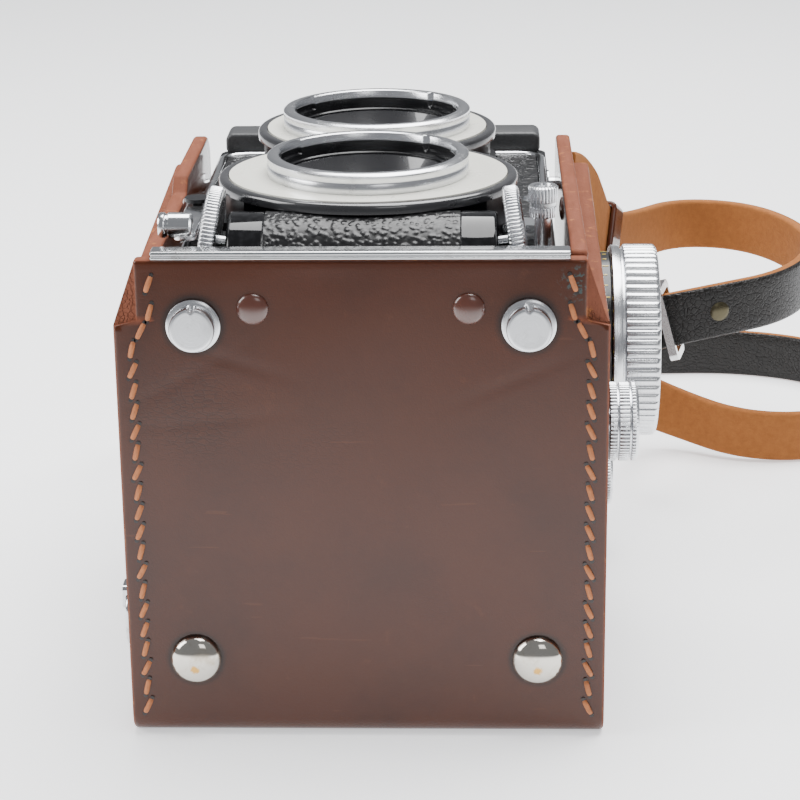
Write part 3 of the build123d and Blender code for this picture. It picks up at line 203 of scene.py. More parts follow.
# Places on the case's base, in X and Z: its feet and studs, a creased patch and a stained corner.
FOOT_X, FOOT_Z = 0.0258, 0.0699
STUD_X, STUD_Z = 0.0275, 0.0137
CREASED, STAINED = (-0.027, 0.056), (0.0335, 0.0765)
CHESTNUT, CHESTNUT_DARK = (0.06, 0.0135, 0.0032), (0.041, 0.009, 0.0024)
# The dark colour below darkens the creases as dirt, and paints shade in rings round the feet and studs.
CHESTNUT_WORN, DIRT_AND_SHADE, VERDIGRIS = (0.13, 0.036, 0.011), (0.012, 0.004, 0.002), (0.045, 0.085, 0.085)
CUT_BROWN, CUT_DARK, CUT_TAN = (0.23, 0.082, 0.05), (0.14, 0.045, 0.024), (0.48, 0.19, 0.065)
VALLEY_BLACK, PEBBLE_BLACK = (0.003, 0.003, 0.0035), (0.009, 0.009, 0.01)
ALUMINIUM, ALUMINIUM_DULL = (0.72, 0.73, 0.75), (0.46, 0.46, 0.46)


def case_leather(w):
    """Glazed leather: blotchy colour, fine creases, worn grain, painted shade round the feet and studs, and
    bare tan where it is cut.
    """
    cut = w.number("cut")
    blotch = w.noise(55, 4.0, 0.6).step(0.35, 0.85)
    wear = w.noise(240, 5.0, 0.65).step(0.62, 0.78)
    scratch = w.noise(75, 2.0, 0.5, w.place(1.0, 1.0, 12.0)).step(0.72, 0.75)
    scratch = scratch + w.noise(60, 2.0, 0.5, w.place(9.0, 1.0, 1.0)).step(0.74, 0.77)
    here = w.math("MAXIMUM", w.away(*CREASED).fade(0.003, 0.013), w.noise(40, 2.0).step(0.6, 0.72) * 0.4)
    crease = w.cells(620, "DISTANCE_TO_EDGE", w.place(1.0, 1.0, 2.4)).fade(0.0, 0.1) * here
    # Painted shade: a dark ring hugs each foot and stud where it stands out of the leather.
    foot_shade = w.away(FOOT_X, FOOT_Z, mirrored=True).fade(0.0042, 0.0056)
    stud_shade = w.away(STUD_X, STUD_Z, mirrored=True).fade(0.004, 0.0052)
    fitting_shade = w.math("MAXIMUM", foot_shade, stud_shade)
    specks = w.away(*STAINED).fade(0.0015, 0.004) * w.noise(1400, 3.0, 0.7).step(0.54, 0.6)
    colour = blotch.mix(CHESTNUT, CHESTNUT_DARK)
    colour = (wear * 0.25 + scratch * 0.22).mix(colour, CHESTNUT_WORN)
    # Creases darken as dirt; the rings round the feet and studs are painted shade.
    colour = w.math("MAXIMUM", crease * 0.3, fitting_shade * 0.85).mix(colour, DIRT_AND_SHADE)
    colour = (specks * 0.8).mix(colour, VERDIGRIS)
    layers = w.noise(900, 3.0, 0.5, w.place(1.0, 0.2, 0.2)).mix(CUT_BROWN, CUT_DARK)
    tan = (w.noise(420, 5.0, 0.7).step(0.56, 0.74) * 0.7).mix(layers, CUT_TAN)
    grain = w.cells(1500, "DISTANCE_TO_EDGE").step(0.0, 0.12) * 0.25
    height = grain + w.noise(420, 4.0) * 0.4 - crease * 0.7 - scratch * 0.2 + w.noise(60, 2.0) * 2.0
    return {
        "Base_Color": cut.mix(colour, tan), "relief": (height, 0.00008),
        "Roughness": 0.3 + wear * 0.15 + cut * 0.3 + w.noise(120) * 0.1,
        "Coat_Weight": (1.0 - cut) * 0.65,
    }


def strap_leather(w):
    """Black grained leather on one face of the strap, bare tan suede on the other and on the edges."""
    grain_side = w.number("face").step(0.35, 0.6)
    suede = w.noise(700, 5.0, 0.7).mix((0.36, 0.135, 0.035), (0.19, 0.065, 0.018))
    black = w.noise(300, 3.0).mix((0.005, 0.0045, 0.004), (0.013, 0.011, 0.01))
    grain = w.cells(1100, "DISTANCE_TO_EDGE").step(0.0, 0.15)
    fuzz = w.noise(2600, 3.0)
    return {
        "Base_Color": grain_side.mix(suede, black), "Roughness": 0.92 - grain_side * 0.56,
        "relief": (grain * grain_side + fuzz * (1.0 - grain_side), 0.00008),
    }


def black_leatherette(w):
    """Moulded pebble grain, with shallow valleys between round pebbles."""
    push = w.add("ShaderNodeTexNoise", None, {"Vector": w.place(), "Scale": 500.0}, 1)
    push = w.add("ShaderNodeVectorMath", {"operation": "SCALE"}, {0: push, 3: 0.0006})
    warp = w.add("ShaderNodeVectorMath", {"operation": "ADD"}, {0: w.place(), 1: push})
    pebble = w.cells(900, "SMOOTH_F1", warp).fade(0.1, 0.62)
    return {
        "Base_Color": pebble.mix(VALLEY_BLACK, PEBBLE_BLACK),
        "Roughness": 0.42 - pebble * 0.16, "relief": (pebble + w.noise(4000) * 0.12, 0.00018),
    }


def drum_cover(w):
    """Pebbled leatherette round the drum's middle and glossy black paint on its two ends."""
    pebbled = w.math("ABSOLUTE", w.axis("X")).fade(0.0152, 0.0155)
    pebble = w.cells(1200, "SMOOTH_F1").fade(0.1, 0.62)
    return {
        "Base_Color": pebble.mix(VALLEY_BLACK, PEBBLE_BLACK),
        "Roughness": 0.06 + pebbled * 0.26, "relief": (pebble * pebbled + pebbled, 0.00013),
    }


def black_paint(w):
    """Crackle paint: hard black with a fine wrinkle and a faint clouding."""
    wrinkle = w.noise(3200, 4.0, 0.6)
    return {
        "Base_Color": w.noise(500, 3.0).mix((0.004, 0.004, 0.005), (0.011, 0.011, 0.012)),
        "Roughness": 0.22 + wrinkle * 0.2, "relief": (wrinkle, 0.00003),
    }


def hood_paint(w):
    """Grey paint with a fine pale fleck that stands a little proud."""
    fleck = w.noise(2600, 3.0, 0.6)
    return {
        "Base_Color": fleck.mix((0.022, 0.023, 0.025), (0.055, 0.056, 0.058)),
        "Roughness": 0.36 + fleck * 0.2, "relief": (fleck, 0.00005),
    }


def turned(light, dark, rough):
    """Metal cut on a lathe: fine rings that follow the piece's own profile, and a little tarnish."""
    def pattern(w):
        where = {"W": w.number("along"), "Scale": 9000.0, "Detail": 2.0}
        ring = w.add("ShaderNodeTexNoise", {"noise_dimensions": "1D"}, where)
        tarnish = w.noise(240, 4.0, 0.6).step(0.5, 0.8)
        return {
            "Base_Color": (tarnish * 0.6).mix(light, dark),
            "Roughness": rough + ring * 0.14 + tarnish * 0.12, "relief": (ring, 0.000012),
        }
    return pattern


def worn_nickel(w):
    """Polished plate with fine rings, rubbed through to brass at one spot near the middle."""
    off_centre = w.away(STUD_X, STUD_Z - 0.001, mirrored=True)
    spot = (off_centre + w.noise(1800, 3.0) * 0.0008).fade(0.0008, 0.0013)
    tarnish = w.noise(300, 4.0, 0.6).step(0.5, 0.8)
    plate = (tarnish * 0.6).mix((0.6, 0.57, 0.51), (0.36, 0.28, 0.17))
    rough = 0.1 + tarnish * 0.14 + spot * 0.2
    return {"Base_Color": spot.mix(plate, (0.62, 0.36, 0.1)), "Roughness": rough}


def black_inside(w):
    """Turned ring: the same bright metal as the knobs, but painted black low down in its bore."""
    metal = turned(ALUMINIUM, ALUMINIUM_DULL, 0.15)(w)
    black = w.number("painted").step(0.4, 0.6)
    colour = black.mix(metal["Base_Color"], (0.006, 0.006, 0.007))
    return {**metal, "Base_Color": colour, "Metallic": 1.0 - black}


def brushed(light, dark, rough):
    """Sheet or plated metal: faint long scratches along X and cloudy tarnish."""
    def pattern(w):
        hair = w.noise(3000, 2.0, 0.5, w.place(0.05, 1.0, 1.0))
        tarnish = w.noise(200, 4.0, 0.6).step(0.5, 0.78)
        return {
            "Base_Color": (tarnish * 0.6).mix(light, dark),
            "Roughness": rough + hair * 0.1 + tarnish * 0.15, "relief": (hair, 0.000008),
        }
    return pattern


def enamel(light, dark, scale=150.0):
    """Smooth paint with a faint clouding."""
    def pattern(w):
        cloud = w.noise(scale, 4.0, 0.6)
        return {"Base_Color": cloud.mix(light, dark), "Roughness": 0.22 + cloud * 0.12}
    return pattern


finish("case_leather", case_leather, Coat_Roughness=0.09, Specular_IOR_Level=0.08)
finish("rail_steel", brushed((0.62, 0.63, 0.64), (0.3, 0.28, 0.26), 0.14), Metallic=1.0)
finish("rivet_brown", enamel((0.095, 0.026, 0.013), (0.06, 0.016, 0.009)), Coat_Weight=0.9,
       Coat_Roughness=0.08)
finish("nickel", worn_nickel, Metallic=1.0)
finish("turned_aluminium", turned(ALUMINIUM, ALUMINIUM_DULL, 0.17), Metallic=1.0)
finish("chrome_trim", brushed((0.68, 0.69, 0.7), (0.4, 0.39, 0.38), 0.11), Metallic=1.0)
finish("body_black", black_paint, Specular_IOR_Level=0.3)
finish("hood_grey", hood_paint)
finish("black_leatherette", black_leatherette, Specular_IOR_Level=0.4)
finish("ivory_panel", enamel((0.83, 0.82, 0.74), (0.77, 0.76, 0.68)), Coat_Weight=0.3)
finish("lens_glass", enamel((0.8, 0.84, 1.0), (0.74, 0.78, 0.98)), Transmission_Weight=1.0, IOR=1.62)
finish("ground_glass", enamel((0.62, 0.65, 0.64), (0.52, 0.55, 0.55)), Transmission_Weight=0.4)
finish("mirror_glass", enamel((0.86, 0.87, 0.88), (0.8, 0.81, 0.82)), Metallic=1.0)
finish("blade_steel", brushed((0.2, 0.2, 0.21), (0.1, 0.1, 0.1), 0.24), Metallic=1.0)
finish("shutter_brass", turned((0.62, 0.45, 0.2), (0.3, 0.2, 0.1), 0.28), Metallic=1.0)
finish("spool_plastic", enamel((0.012, 0.012, 0.012), (0.02, 0.019, 0.018)))
finish("scale_black", enamel((0.01, 0.01, 0.011), (0.018, 0.018, 0.018)))
finish("strap_leather", strap_leather, Specular_IOR_Level=0.25)
for part in frame["record"]["subparts"]:
    node = frame["nodes"][part["node"]]
    node.data.materials.clear()
    node.data.materials.append(FINISH[part["material_slot"]])


# ---- neck strap ----
# One band of black leather, bare tan inside, that lies on edge in loose loops from the right lug,
# round behind the camera to the left lug. A brown keeper is threaded on it and a rivet is set through it.
BODY = "camera_body"


def ring_faces(rows, columns, closed=False):
    """Quads between rows of points, each row a closed ring; closed joins the last row to the first."""
    row, column = np.meshgrid(np.arange(rows if closed else rows - 1), np.arange(columns), indexing="ij")
    below, right = (row + 1) % rows, (column + 1) % columns
    quads = [row * columns + column, row * columns + right, below * columns + right, below * columns + column]
    return np.stack(quads, -1).reshape(-1, 4).tolist()


def piece(name, points, faces, body, slot, stands_for=(), material=None, sharp=40.0, **numbers):
    """A new mesh that rides on a body: its doubled points are merged and its faces turned outwards."""
    mesh = bpy.data.meshes.new(name)
    mesh.from_pydata([tuple(p) for p in np.asarray(points, float).reshape(-1, 3)], [], faces)
    for key, values in numbers.items():
        layer = mesh.attributes.new(key, "FLOAT", "POINT")
        layer.data.foreach_set("value", np.ascontiguousarray(values, np.float32).ravel())
    work = bmesh.new()
    work.from_mesh(mesh)
    bmesh.ops.remove_doubles(work, verts=work.verts, dist=1e-6)
    bmesh.ops.recalc_face_normals(work, faces=work.faces)
    work.to_mesh(mesh)
    work.free()
    mesh.shade_smooth()
    mesh.set_sharp_from_angle(angle=math.radians(sharp))
    mesh.materials.append(material or FINISH[slot])
    made = bpy.data.objects.new(name, mesh)
    bpy.context.scene.collection.objects.link(made)
    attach(made, body)
    if stands_for:
        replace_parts(made, *stands_for)
    return made


def loft(name, rings, body, slot, closed=False, **more):
    """Skin over rings of points (rows, columns, 3), capped at both ends unless it closes on itself.

    One more dimension in front makes that many solids of a kind in one piece."""
    rings = np.array(rings, float)
    rows, columns = rings.shape[-3:-1]
    faces = ring_faces(rows, columns, closed)
    if not closed:
        faces += [list(range(columns)), list(range((rows - 1) * columns, rows * columns))]
    starts = range(0, rings.size // 3, rows * columns)
    faces = [[start + i for i in face] for start in starts for face in faces]
    return piece(name, rings, faces, body, slot, **more)


def rounded(corners, step=math.radians(12)):
    """Closed outline through corners given as (u, v, radius), each corner rounded by an arc."""
    corners = [np.array(c, float) for c in corners]
    outline = []
    for before, here, after in zip(corners[-1:] + corners[:-1], corners, corners[1:] + corners[:1]):
        a, b = before[:2] - here[:2], after[:2] - here[:2]
        a, b = a / np.hypot(*a), b / np.hypot(*b)
        half = math.acos(np.clip(a @ b, -1, 1)) / 2
        radius = here[2]
        if radius == 0:
            outline.append(here[:2])
            continue
        middle = (a + b) / np.hypot(*(a + b))
        centre = here[:2] + middle * radius / math.sin(half)
        sweep = math.pi - 2 * half
        first = here[:2] + a * radius / math.tan(half) - centre
        side = np.sign(first[0] * (b - a)[1] - first[1] * (b - a)[0])
        for turn in np.linspace(0, sweep, max(3, int(sweep / step) + 1)):
            c, s = math.cos(turn * side), math.sin(turn * side)
            outline.append(centre + np.array((first[0] * c - first[1] * s, first[0] * s + first[1] * c)))
    return np.array(outline)


def rectangle(u0, v0, u1, v1, radius, step=math.radians(12)):
    """Closed outline of a rectangle with four equal rounded corners."""
    return rounded([(u0, v0, radius), (u1, v0, radius), (u1, v1, radius), (u0, v1, radius)], step)


def dense(outline, gap):
    """The same closed outline with points added so that none are further apart than gap."""
    filled = []
    for a, b in zip(outline, np.roll(outline, -1, 0)):
        count = max(1, math.ceil(np.hypot(*(b - a)) / gap))
        filled += [a + (b - a) * n / count for n in range(count)]
    return np.array(filled)


def lathe(name, profile, centre, axis, body, slot, turns=64, flutes=0, depth=0.0, shape=None, **more):
    """Solid turned about an axis, from a profile of (radius, distance along the axis, flute weight).

    Radius at angle a: r - weight * depth * (1 - |sin(flutes * a / 2)| ** 0.6), changed by shape(r, h, a)."""
    rows = np.array([(*p, 0.0)[:3] for p in profile], float)
    angle = np.linspace(0, 2 * math.pi, turns, endpoint=False)
    axis = Vector(axis).normalized()
    first = axis.cross((0.0, 0.0, 1.0)) if abs(axis.z) < 0.7 else axis.cross((0.0, 1.0, 0.0))
    first = np.array(first.normalized())
    second = np.cross(np.array(axis), first)
    radius = rows[:, :1] - rows[:, 2:] * depth * (1 - np.abs(np.sin(flutes * angle / 2)) ** 0.6)[None]
    height = np.repeat(rows[:, 1:2], turns, 1)
    if shape:
        radius = shape(radius, height, angle[None])
    spoke = np.cos(angle)[:, None] * first + np.sin(angle)[:, None] * second
    points = np.array(centre) + radius[..., None] * spoke + height[..., None] * np.array(axis)
    length = np.concatenate([[0], np.cumsum(np.hypot(*np.diff(rows[:, :2], axis=0).T))])
    return loft(name, points, body, slot, along=np.repeat(length[:, None], turns, 1), **more)


STRAP_WIDTH, STRAP_THICK = 0.0105, 0.0024
STRAP_ROUTE = [
    (0.035, 0.0624, 0.07), (0.037, 0.07, 0.0686), (0.0406, 0.0775, 0.06), (0.0434, 0.088, 0.0515),
    (0.0495, 0.106, 0.047), (0.061, 0.127, 0.045), (0.0785, 0.1235, 0.0445), (0.088, 0.1, 0.044),
    (0.08, 0.075, 0.0435), (0.062, 0.0645, 0.043), (0.048, 0.0675, 0.039), (0.042, 0.083, 0.028),
    (0.0465, 0.1, 0.016), (0.0585, 0.1065, 0.0086), (0.074, 0.097, 0.0058), (0.093, 0.099, 0.0054),
    (0.107, 0.122, 0.0053), (0.1, 0.148, 0.0054), (0.079, 0.159, 0.0053), (0.052, 0.157, 0.0054),
    (0.024, 0.167, 0.0053), (-0.006, 0.172, 0.0054), (-0.032, 0.168, 0.0053), (-0.045, 0.15, 0.0054),
    (-0.033, 0.133, 0.0053), (-0.009, 0.137, 0.0054), (0.016, 0.139, 0.0053), (0.031, 0.124, 0.0054),
    (0.02, 0.107, 0.0053), (-0.006, 0.11, 0.006), (-0.026, 0.116, 0.012), (-0.04, 0.108, 0.024),
    (-0.0425, 0.092, 0.038), (-0.0405, 0.079, 0.054), (-0.0375, 0.07, 0.0665), (-0.035, 0.0624, 0.07),
]


def smooth_path(route, resolution=10):
    """Points along the third-order NURBS curve that a route's points control."""
    curve = bpy.data.curves.new("path", "CURVE")
    curve.dimensions = "3D"
    spline = curve.splines.new("NURBS")
    spline.points.add(len(route) - 1)
    for point, place in zip(spline.points, route):
        point.co = (*place, 1.0)
    spline.order_u = 3
    spline.use_endpoint_u = True
    spline.resolution_u = resolution
    holder = bpy.data.objects.new("path", curve)
    bpy.context.scene.collection.objects.link(holder)
    bpy.context.view_layer.update()
    evaluated = bpy.data.meshes.new_from_object(holder.evaluated_get(bpy.context.evaluated_depsgraph_get()))
    path = np.array([v.co for v in evaluated.vertices], float).reshape(-1, 3)
    bpy.data.objects.remove(holder)
    bpy.data.meshes.remove(evaluated)
    return path


def path_frames(path):
    """Unit tangent, sideways and upward directions at each point; sideways is level, to the left."""
    tangent = np.gradient(path, axis=0)
    tangent /= np.linalg.norm(tangent, axis=1, keepdims=True)
    left = np.cross((0.0, 0.0, 1.0), tangent)
    left /= np.linalg.norm(left, axis=1, keepdims=True)
    return tangent, left, np.cross(tangent, left)


def band_ring(width, thick, edge):
    """Outline of a flat band: u across its thickness and v along its width, its edges rounded."""
    u, v = thick / 2, width / 2
    return rectangle(-u, -v, u, v, edge, math.radians(30))


def along_path(path, left, up, ring):
    """Rings placed on each point of a path: point + u * left + v * up."""
    return path[:, None] + ring[None, :, :1] * left[:, None] + ring[None, :, 1:] * up[:, None]


path = smooth_path(STRAP_ROUTE)
tangent, left, up = path_frames(path)
band = dense(band_ring(STRAP_WIDTH, STRAP_THICK, 0.0007), 0.002)
strap = loft(
    "neck_strap", along_path(path, left, up, band), BODY, "strap_leather", stands_for=["strap"],
    face=np.tile((band[:, 0] / STRAP_THICK + 0.5) > 0.85, (len(path), 1)))


def nearest(at):
    """Number of the path's point that is nearest to a place."""
    return int(np.argmin(np.linalg.norm(path - at, axis=1)))


def strap_keeper(at, length=0.0065, wall=0.0011):
    """Brown loop round the strap: an outer and an inner ring of its section, joined at both ends."""
    near = nearest(at)
    centre, along = path[near], tangent[near]
    inner = band_ring(STRAP_WIDTH + 0.0006, STRAP_THICK + 0.0006, 0.0006)
    outer = band_ring(STRAP_WIDTH + 2 * wall, STRAP_THICK + 2 * wall + 0.0004, 0.0014)
    soft = band_ring(STRAP_WIDTH + 2 * wall - 0.0006, STRAP_THICK + 2 * wall - 0.0002, 0.0012)
    rings = [(inner, -0.5), (soft, -0.5), (outer, -0.46), (outer, 0.46), (soft, 0.5), (inner, 0.5)]
    points = [centre + along * length * s + r[:, :1] * left[near] + r[:, 1:] * up[near] for r, s in rings]
    return loft("strap_keeper", points, BODY, "case_leather", closed=True,
                cut=np.zeros((6, len(inner))))


def strap_rivet(at):
    """Flat-headed rivet through the strap, with a low round head on each face."""
    near = nearest(at)
    half = STRAP_THICK / 2
    head = [(0, 0.0004), (0.0012, 0.00035), (0.0018, 0.0001), (0.002, -0.0001)]
    profile = [(r, half + h) for r, h in head] + [(0.0009, half - 0.0001), (0.0009, -half + 0.0001)]
    profile += [(r, -half - h) for r, h in head[::-1]]
    dark = finish("rivet_dark", enamel((0.1, 0.085, 0.045), (0.05, 0.045, 0.03)), Metallic=0.8)
    return lathe("strap_rivet", profile, path[near], left[near], BODY, "nickel", turns=32,
                 material=dark)


keeper = strap_keeper((0.0434, 0.088, 0.0515))
rivet = strap_rivet((0.0655, 0.066, 0.043))


# ---- leather case ----
# Thick chestnut leather, glazed on the outside and tan where it is cut. The base and back are one
# strip folded round the lower edge, and each side is two layers sewn to it with waxed thread.
def low(node):
    """Lowest corner of a node's box."""
    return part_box(node)[0]


def high(node):
    """Highest corner of a node's box."""
    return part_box(node)[1]


def inset(outline, depth):
    """An outline moved inwards by depth: each point goes along the middle of its two edges' normals."""
    edge = np.roll(outline, -1, 0) - outline
    normal = np.stack([-edge[:, 1], edge[:, 0]], -1) / np.hypot(*edge.T)[:, None]
    area = np.sum(outline[:, 0] * np.roll(outline[:, 1], -1) - np.roll(outline[:, 0], -1) * outline[:, 1])
    both = normal + np.roll(normal, 1, 0)
    both /= np.maximum(np.sum(both * both, 1, keepdims=True) / 2, 0.5)
    return outline + both * depth * np.sign(area)


def quarter(edge, count):
    """A rounded edge as (distance from the face, distance inwards): edge * (1 - cos t, 1 - sin t)."""
    return [(edge * (1 - math.cos(t)), edge * (1 - math.sin(t))) for t in np.linspace(0, math.pi / 2, count)]


def raised(outline, height):
    """A flat outline as points at one height."""
    return np.column_stack([outline, np.full(len(outline), height)])


def slab(name, outline, axis, start, end, edge, body, slot, **more):
    """Plate with that outline square to an axis letter, from start to end, with rounded edges."""
    turn = quarter(edge, 4)
    rows = [(start + along, depth) for along, depth in turn]
    rows += [(end - along, depth) for along, depth in turn[::-1]]
    order = {"X": (2, 0, 1), "Y": (0, 2, 1), "Z": (0, 1, 2)}[axis]
    rings = [raised(inset(outline, depth), height)[:, order] for height, depth in rows]
    rim = np.ones((len(rows), len(outline)))
    rim[0] = rim[-1] = 0
    return loft(name, rings, body, slot, cut=rim, **more)


CASE_X, WALL_IN_X = high("case_side_right").x, low("case_side_right").x
LINER_IN_X = low("case_liner_right").x
BASE_Y, BASE_TOP, CASE_END = low("case_wrap").y, high("case_wrap").z, high("case_wrap").y
LEATHER, STEP_Z = 0.0025, 0.07
INNER_Y = BASE_Y + LEATHER


def buckle(x, z):
    """How far the base leather stands out at a place: slow waves and a few creases by the left foot."""
    waves = 0.00006 * np.sin(95 * x + 1.0) * np.sin(70 * z + 0.5) + 0.00002 * np.sin(210 * x - 160 * z)
    for cx, cz, lean, reach in ((-0.03, 0.06, 0.5, 0.01), (-0.02, 0.064, -0.3, 0.008),
                                (-0.026, 0.054, 0.1, 0.012), (0.024, 0.061, 0.4, 0.009)):
        across = (z - cz) * math.cos(lean) - (x - cx) * math.sin(lean)
        along = (z - cz) * math.sin(lean) + (x - cx) * math.cos(lean)
        waves = waves - 0.00004 * np.exp(-(across / 0.0007) ** 2 - (along / reach) ** 2)
    return waves


def case_wrap():
    """The folded strip: its section in Y and Z, repeated along X, narrower above the step."""
    section = dense(rounded([
        (CASE_END, 0.0, 0.0008), (CASE_END, LEATHER, 0.0008), (INNER_Y, LEATHER, 0.001),
        (INNER_Y, BASE_TOP, 0.0005), (BASE_Y, BASE_TOP, 0.0007), (BASE_Y, 0.0, LEATHER + 0.001)]), 0.0009)
    edge = [(-CASE_X + along, depth) for along, depth in quarter(0.0007, 5)]
    middle = [(x, 0.0) for x in np.linspace(-CASE_X + 0.0015, CASE_X - 0.0015, 110)]
    rings, cut = [], []
    for x, depth in edge + middle + [(-x, depth) for x, depth in edge[::-1]]:
        y, z = inset(section, depth).T
        wide = np.where((z > STEP_Z) & (y < INNER_Y + 0.001), WALL_IN_X / CASE_X, 1.0) * x
        outside = np.clip((INNER_Y - 0.0008 - y) / 0.001, 0, 1) * np.clip((z - 0.004) / 0.004, 0, 1)
        outside = outside * np.clip((BASE_TOP - 0.001 - z) / 0.002, 0, 1)
        rings.append(np.column_stack([wide, y - outside * buckle(wide, z), z]))
        on_step = (np.abs(z - STEP_Z - 0.0004) < 0.0005) & (abs(x) > WALL_IN_X)
        cut.append((depth > 0.0002) | (z > BASE_TOP - 0.0002) | on_step | (y > CASE_END - 0.0004))
    loft("case_base_and_back", rings, BODY, "case_leather", stands_for=["case_wrap"],
         cut=np.array(cut, float))


def case_wall(side, word):
    """Outer and inner layer of a side: outlines in Y and Z, cut edges left tan."""
    low_end = [(INNER_Y, LEATHER, 0.001), (CASE_END, LEATHER, 0.0008)]
    wall = [(CASE_END, high(f"case_side_{word}").z, 0.005), (INNER_Y, STEP_Z, 0.0008)]
    slab(f"case_wall_{word}", rounded(low_end + wall), "X", *sorted((side * WALL_IN_X, side * CASE_X)),
         0.0007, BODY, "case_leather", stands_for=[f"case_side_{word}"])
    top = high(f"case_liner_{word}").z
    start = [(INNER_Y, top, 0.0008)] if side > 0 else [
        (0.0205, top, 0.001), (0.018, top - 0.0025, 0.001), (INNER_Y, top - 0.0025, 0.0008)]
    slab(f"case_inner_{word}", rounded(low_end + [(CASE_END, top, 0.005)] + start), "X",
         *sorted((side * LINER_IN_X, side * WALL_IN_X)), 0.0006, BODY, "case_leather",
         stands_for=[f"case_liner_{word}"])


case_wrap()
case_wall(-1, "left")
case_wall(1, "right")

SEAM = [(0.0325, 0.0765), (0.0325, 0.072), (0.0355, 0.066), (0.0356, 0.002)]
STITCH, REACH = 0.0033, 0.00158
THREAD = finish("waxed_thread", lambda w: {
    "Base_Color": w.noise(900, 3.0).mix((0.58, 0.21, 0.075), (0.28, 0.085, 0.028)), "Roughness": 0.7,
    "relief": (w.noise(5000), 0.00006)})
# Painted shade: the dark discs at the ends of the stitches stand for the shade inside their holes.
HOLE_SHADE = finish("hole_shade", enamel((0.012, 0.005, 0.003), (0.006, 0.003, 0.002)))


def stitches(side, word):
    """Slanted stitches sewn through the base along its seam, and a dark disc of painted shade at each hole
    that they go down.

    At s from -1 to 1 along a stitch, its middle stands 0.0006 * (1 - s ** 4) - 0.0003 out of the leather
    and its radius is 0.00042 * sqrt(1 - 0.8 * s ** 4)."""
    spots = []
    for (x0, z0), (x1, z1) in zip(SEAM, SEAM[1:]):
        count = max(1, round(math.hypot(x1 - x0, z1 - z0) / STITCH))
        spots += [(x0 + (x1 - x0) * n / count, z0 + (z1 - z0) * n / count) for n in range(count)]
    turn = np.linspace(0, 2 * math.pi, 9)[:-1]
    along = np.linspace(-1, 1, 9)[:, None]
    out = np.array((0, -1.0, 0))
    rise = 0.0006 * (1 - along ** 4) - 0.0003
    radius = 0.00042 * np.sqrt(1 - 0.8 * along ** 4)
    disc = np.stack([np.cos(turn), 0 * turn, np.sin(turn)], -1) * 0.00036
    threads, holes = [], []
    for n, (x, z) in enumerate(spots):
        lean = 0.36 + 0.12 * math.sin(3.7 * n)
        ahead = np.array((side * math.sin(lean), 0.0, -math.cos(lean)))
        across = np.cross(ahead, out)
        middle = np.array((side * x, BASE_Y, z))
        ring = np.cos(turn)[:, None] * across + np.sin(turn)[:, None] * out
        threads.append((middle + along * REACH * ahead + rise * out)[:, None] + ring * radius[:, None])
        # Painted shade: a dark disc round each end, where the thread goes down its hole.
        for end in (-1, 1):
            hole = middle + 0.00018 * out + end * (REACH - 0.00002) * ahead + disc
            holes.append([hole, hole - 0.0003 * out])
    loft(f"stitches_{word}", threads, BODY, "case_leather", material=THREAD)
    loft(f"hole_shades_{word}", holes, BODY, "case_leather", material=HOLE_SHADE)


stitches(-1, "left")
stitches(1, "right")


# ---- metal fittings of the case ----
# A folded steel strip caps the base's front edge. Two turned aluminium feet, two domed nickel studs
# and two brown cap rivets are set through the base leather, and a smaller rivet through each side.
TURNED = "turned_aluminium"


def rail():
    """The strip's section in Y and Z, with a rolled groove along its front, repeated along X."""
    lo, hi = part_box("case_front_rail")
    front, back, under, top = lo.y, hi.y, BASE_TOP, hi.z
    groove = (under + top) / 2 - 0.0001
    section = rounded([
        (front, under, 0.0002), (front, groove - 0.0002, 0.00015), (front + 0.0004, groove, 0.0001),
        (front, groove + 0.0002, 0.00015), (front, top, 0.0004), (back, top, 0.0003),
        (back, under - 0.0095, 0.0002), (back - 0.0008, under - 0.0095, 0.0002), (back - 0.0008, under, 0)])
    slab("front_rail", section, "X", -hi.x, hi.x, 0.0002, BODY, "rail_steel",
         stands_for=["case_front_rail"])


def foot(side, word):
    """Flanged disc with a notch in its edge on the side of the base's front."""
    def notch(radius, height, angle):
        near = np.exp(-((np.sin(angle) + 1) / 0.01) ** 2)
        return radius * (1 - 0.16 * near * (height > 0.001))

    profile = [
        (0, 0.0031), (0.0029, 0.0031), (0.0031, 0.0031), (0.0034, 0.003), (0.0035, 0.0028), (0.0035, 0.0011),
        (0.0035, 0.00085), (0.0039, 0.0008), (0.0042, 0.0006), (0.00425, 0.0004), (0.00425, -0.0001),
        (0.001, -0.0001), (0.001, -LEATHER), (0, -LEATHER)]
    return lathe(f"foot_{word}", profile, (side * FOOT_X, BASE_Y, FOOT_Z), (0, -1, 0), BODY, TURNED, turns=96,
                 shape=notch)


def domed(name, slot, centre, radius, rise, axis=(0, -1, 0), lift=0.0, steps=10, shank=0.0024, turns=40):
    """Domed head on a shank: radius * sin t and lift + rise * cos t, for t from 0 to a quarter turn."""
    head = [(radius * math.sin(t), lift + rise * math.cos(t)) for t in np.linspace(0, math.pi / 2, steps)]
    profile = head + [(radius, -0.0001), (0.001, -0.0001), (0.001, -shank), (0, -shank)]
    return lathe(name, profile, centre, axis, BODY, slot, turns=turns)


def stud(side, word):
    """Tall nickel stud near the back of the base."""
    return domed(f"stud_{word}", "nickel", (side * STUD_X, BASE_Y, STUD_Z), 0.0041, 0.0021,
                 lift=0.0002, steps=14, shank=LEATHER, turns=64)


rail()
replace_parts(foot(-1, "left"), "front_feet")
foot(1, "right")
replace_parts(stud(-1, "left"), "rear_studs")
stud(1, "right")
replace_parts(domed("rivet_1", "rivet_brown", (-0.0166, BASE_Y, 0.0725), 0.0025, 0.001), "case_rivets")
domed("rivet_2", "rivet_brown", (0.0166, BASE_Y, 0.0725), 0.0025, 0.001)
domed("rivet_3", "rivet_brown", (LINER_IN_X, 0.014, 0.0766), 0.002, 0.0005, axis=(-1, 0, 0))
domed("rivet_4", "rivet_brown", (-LINER_IN_X, 0.014, 0.0766), 0.002, 0.0005, axis=(1, 0, 0))


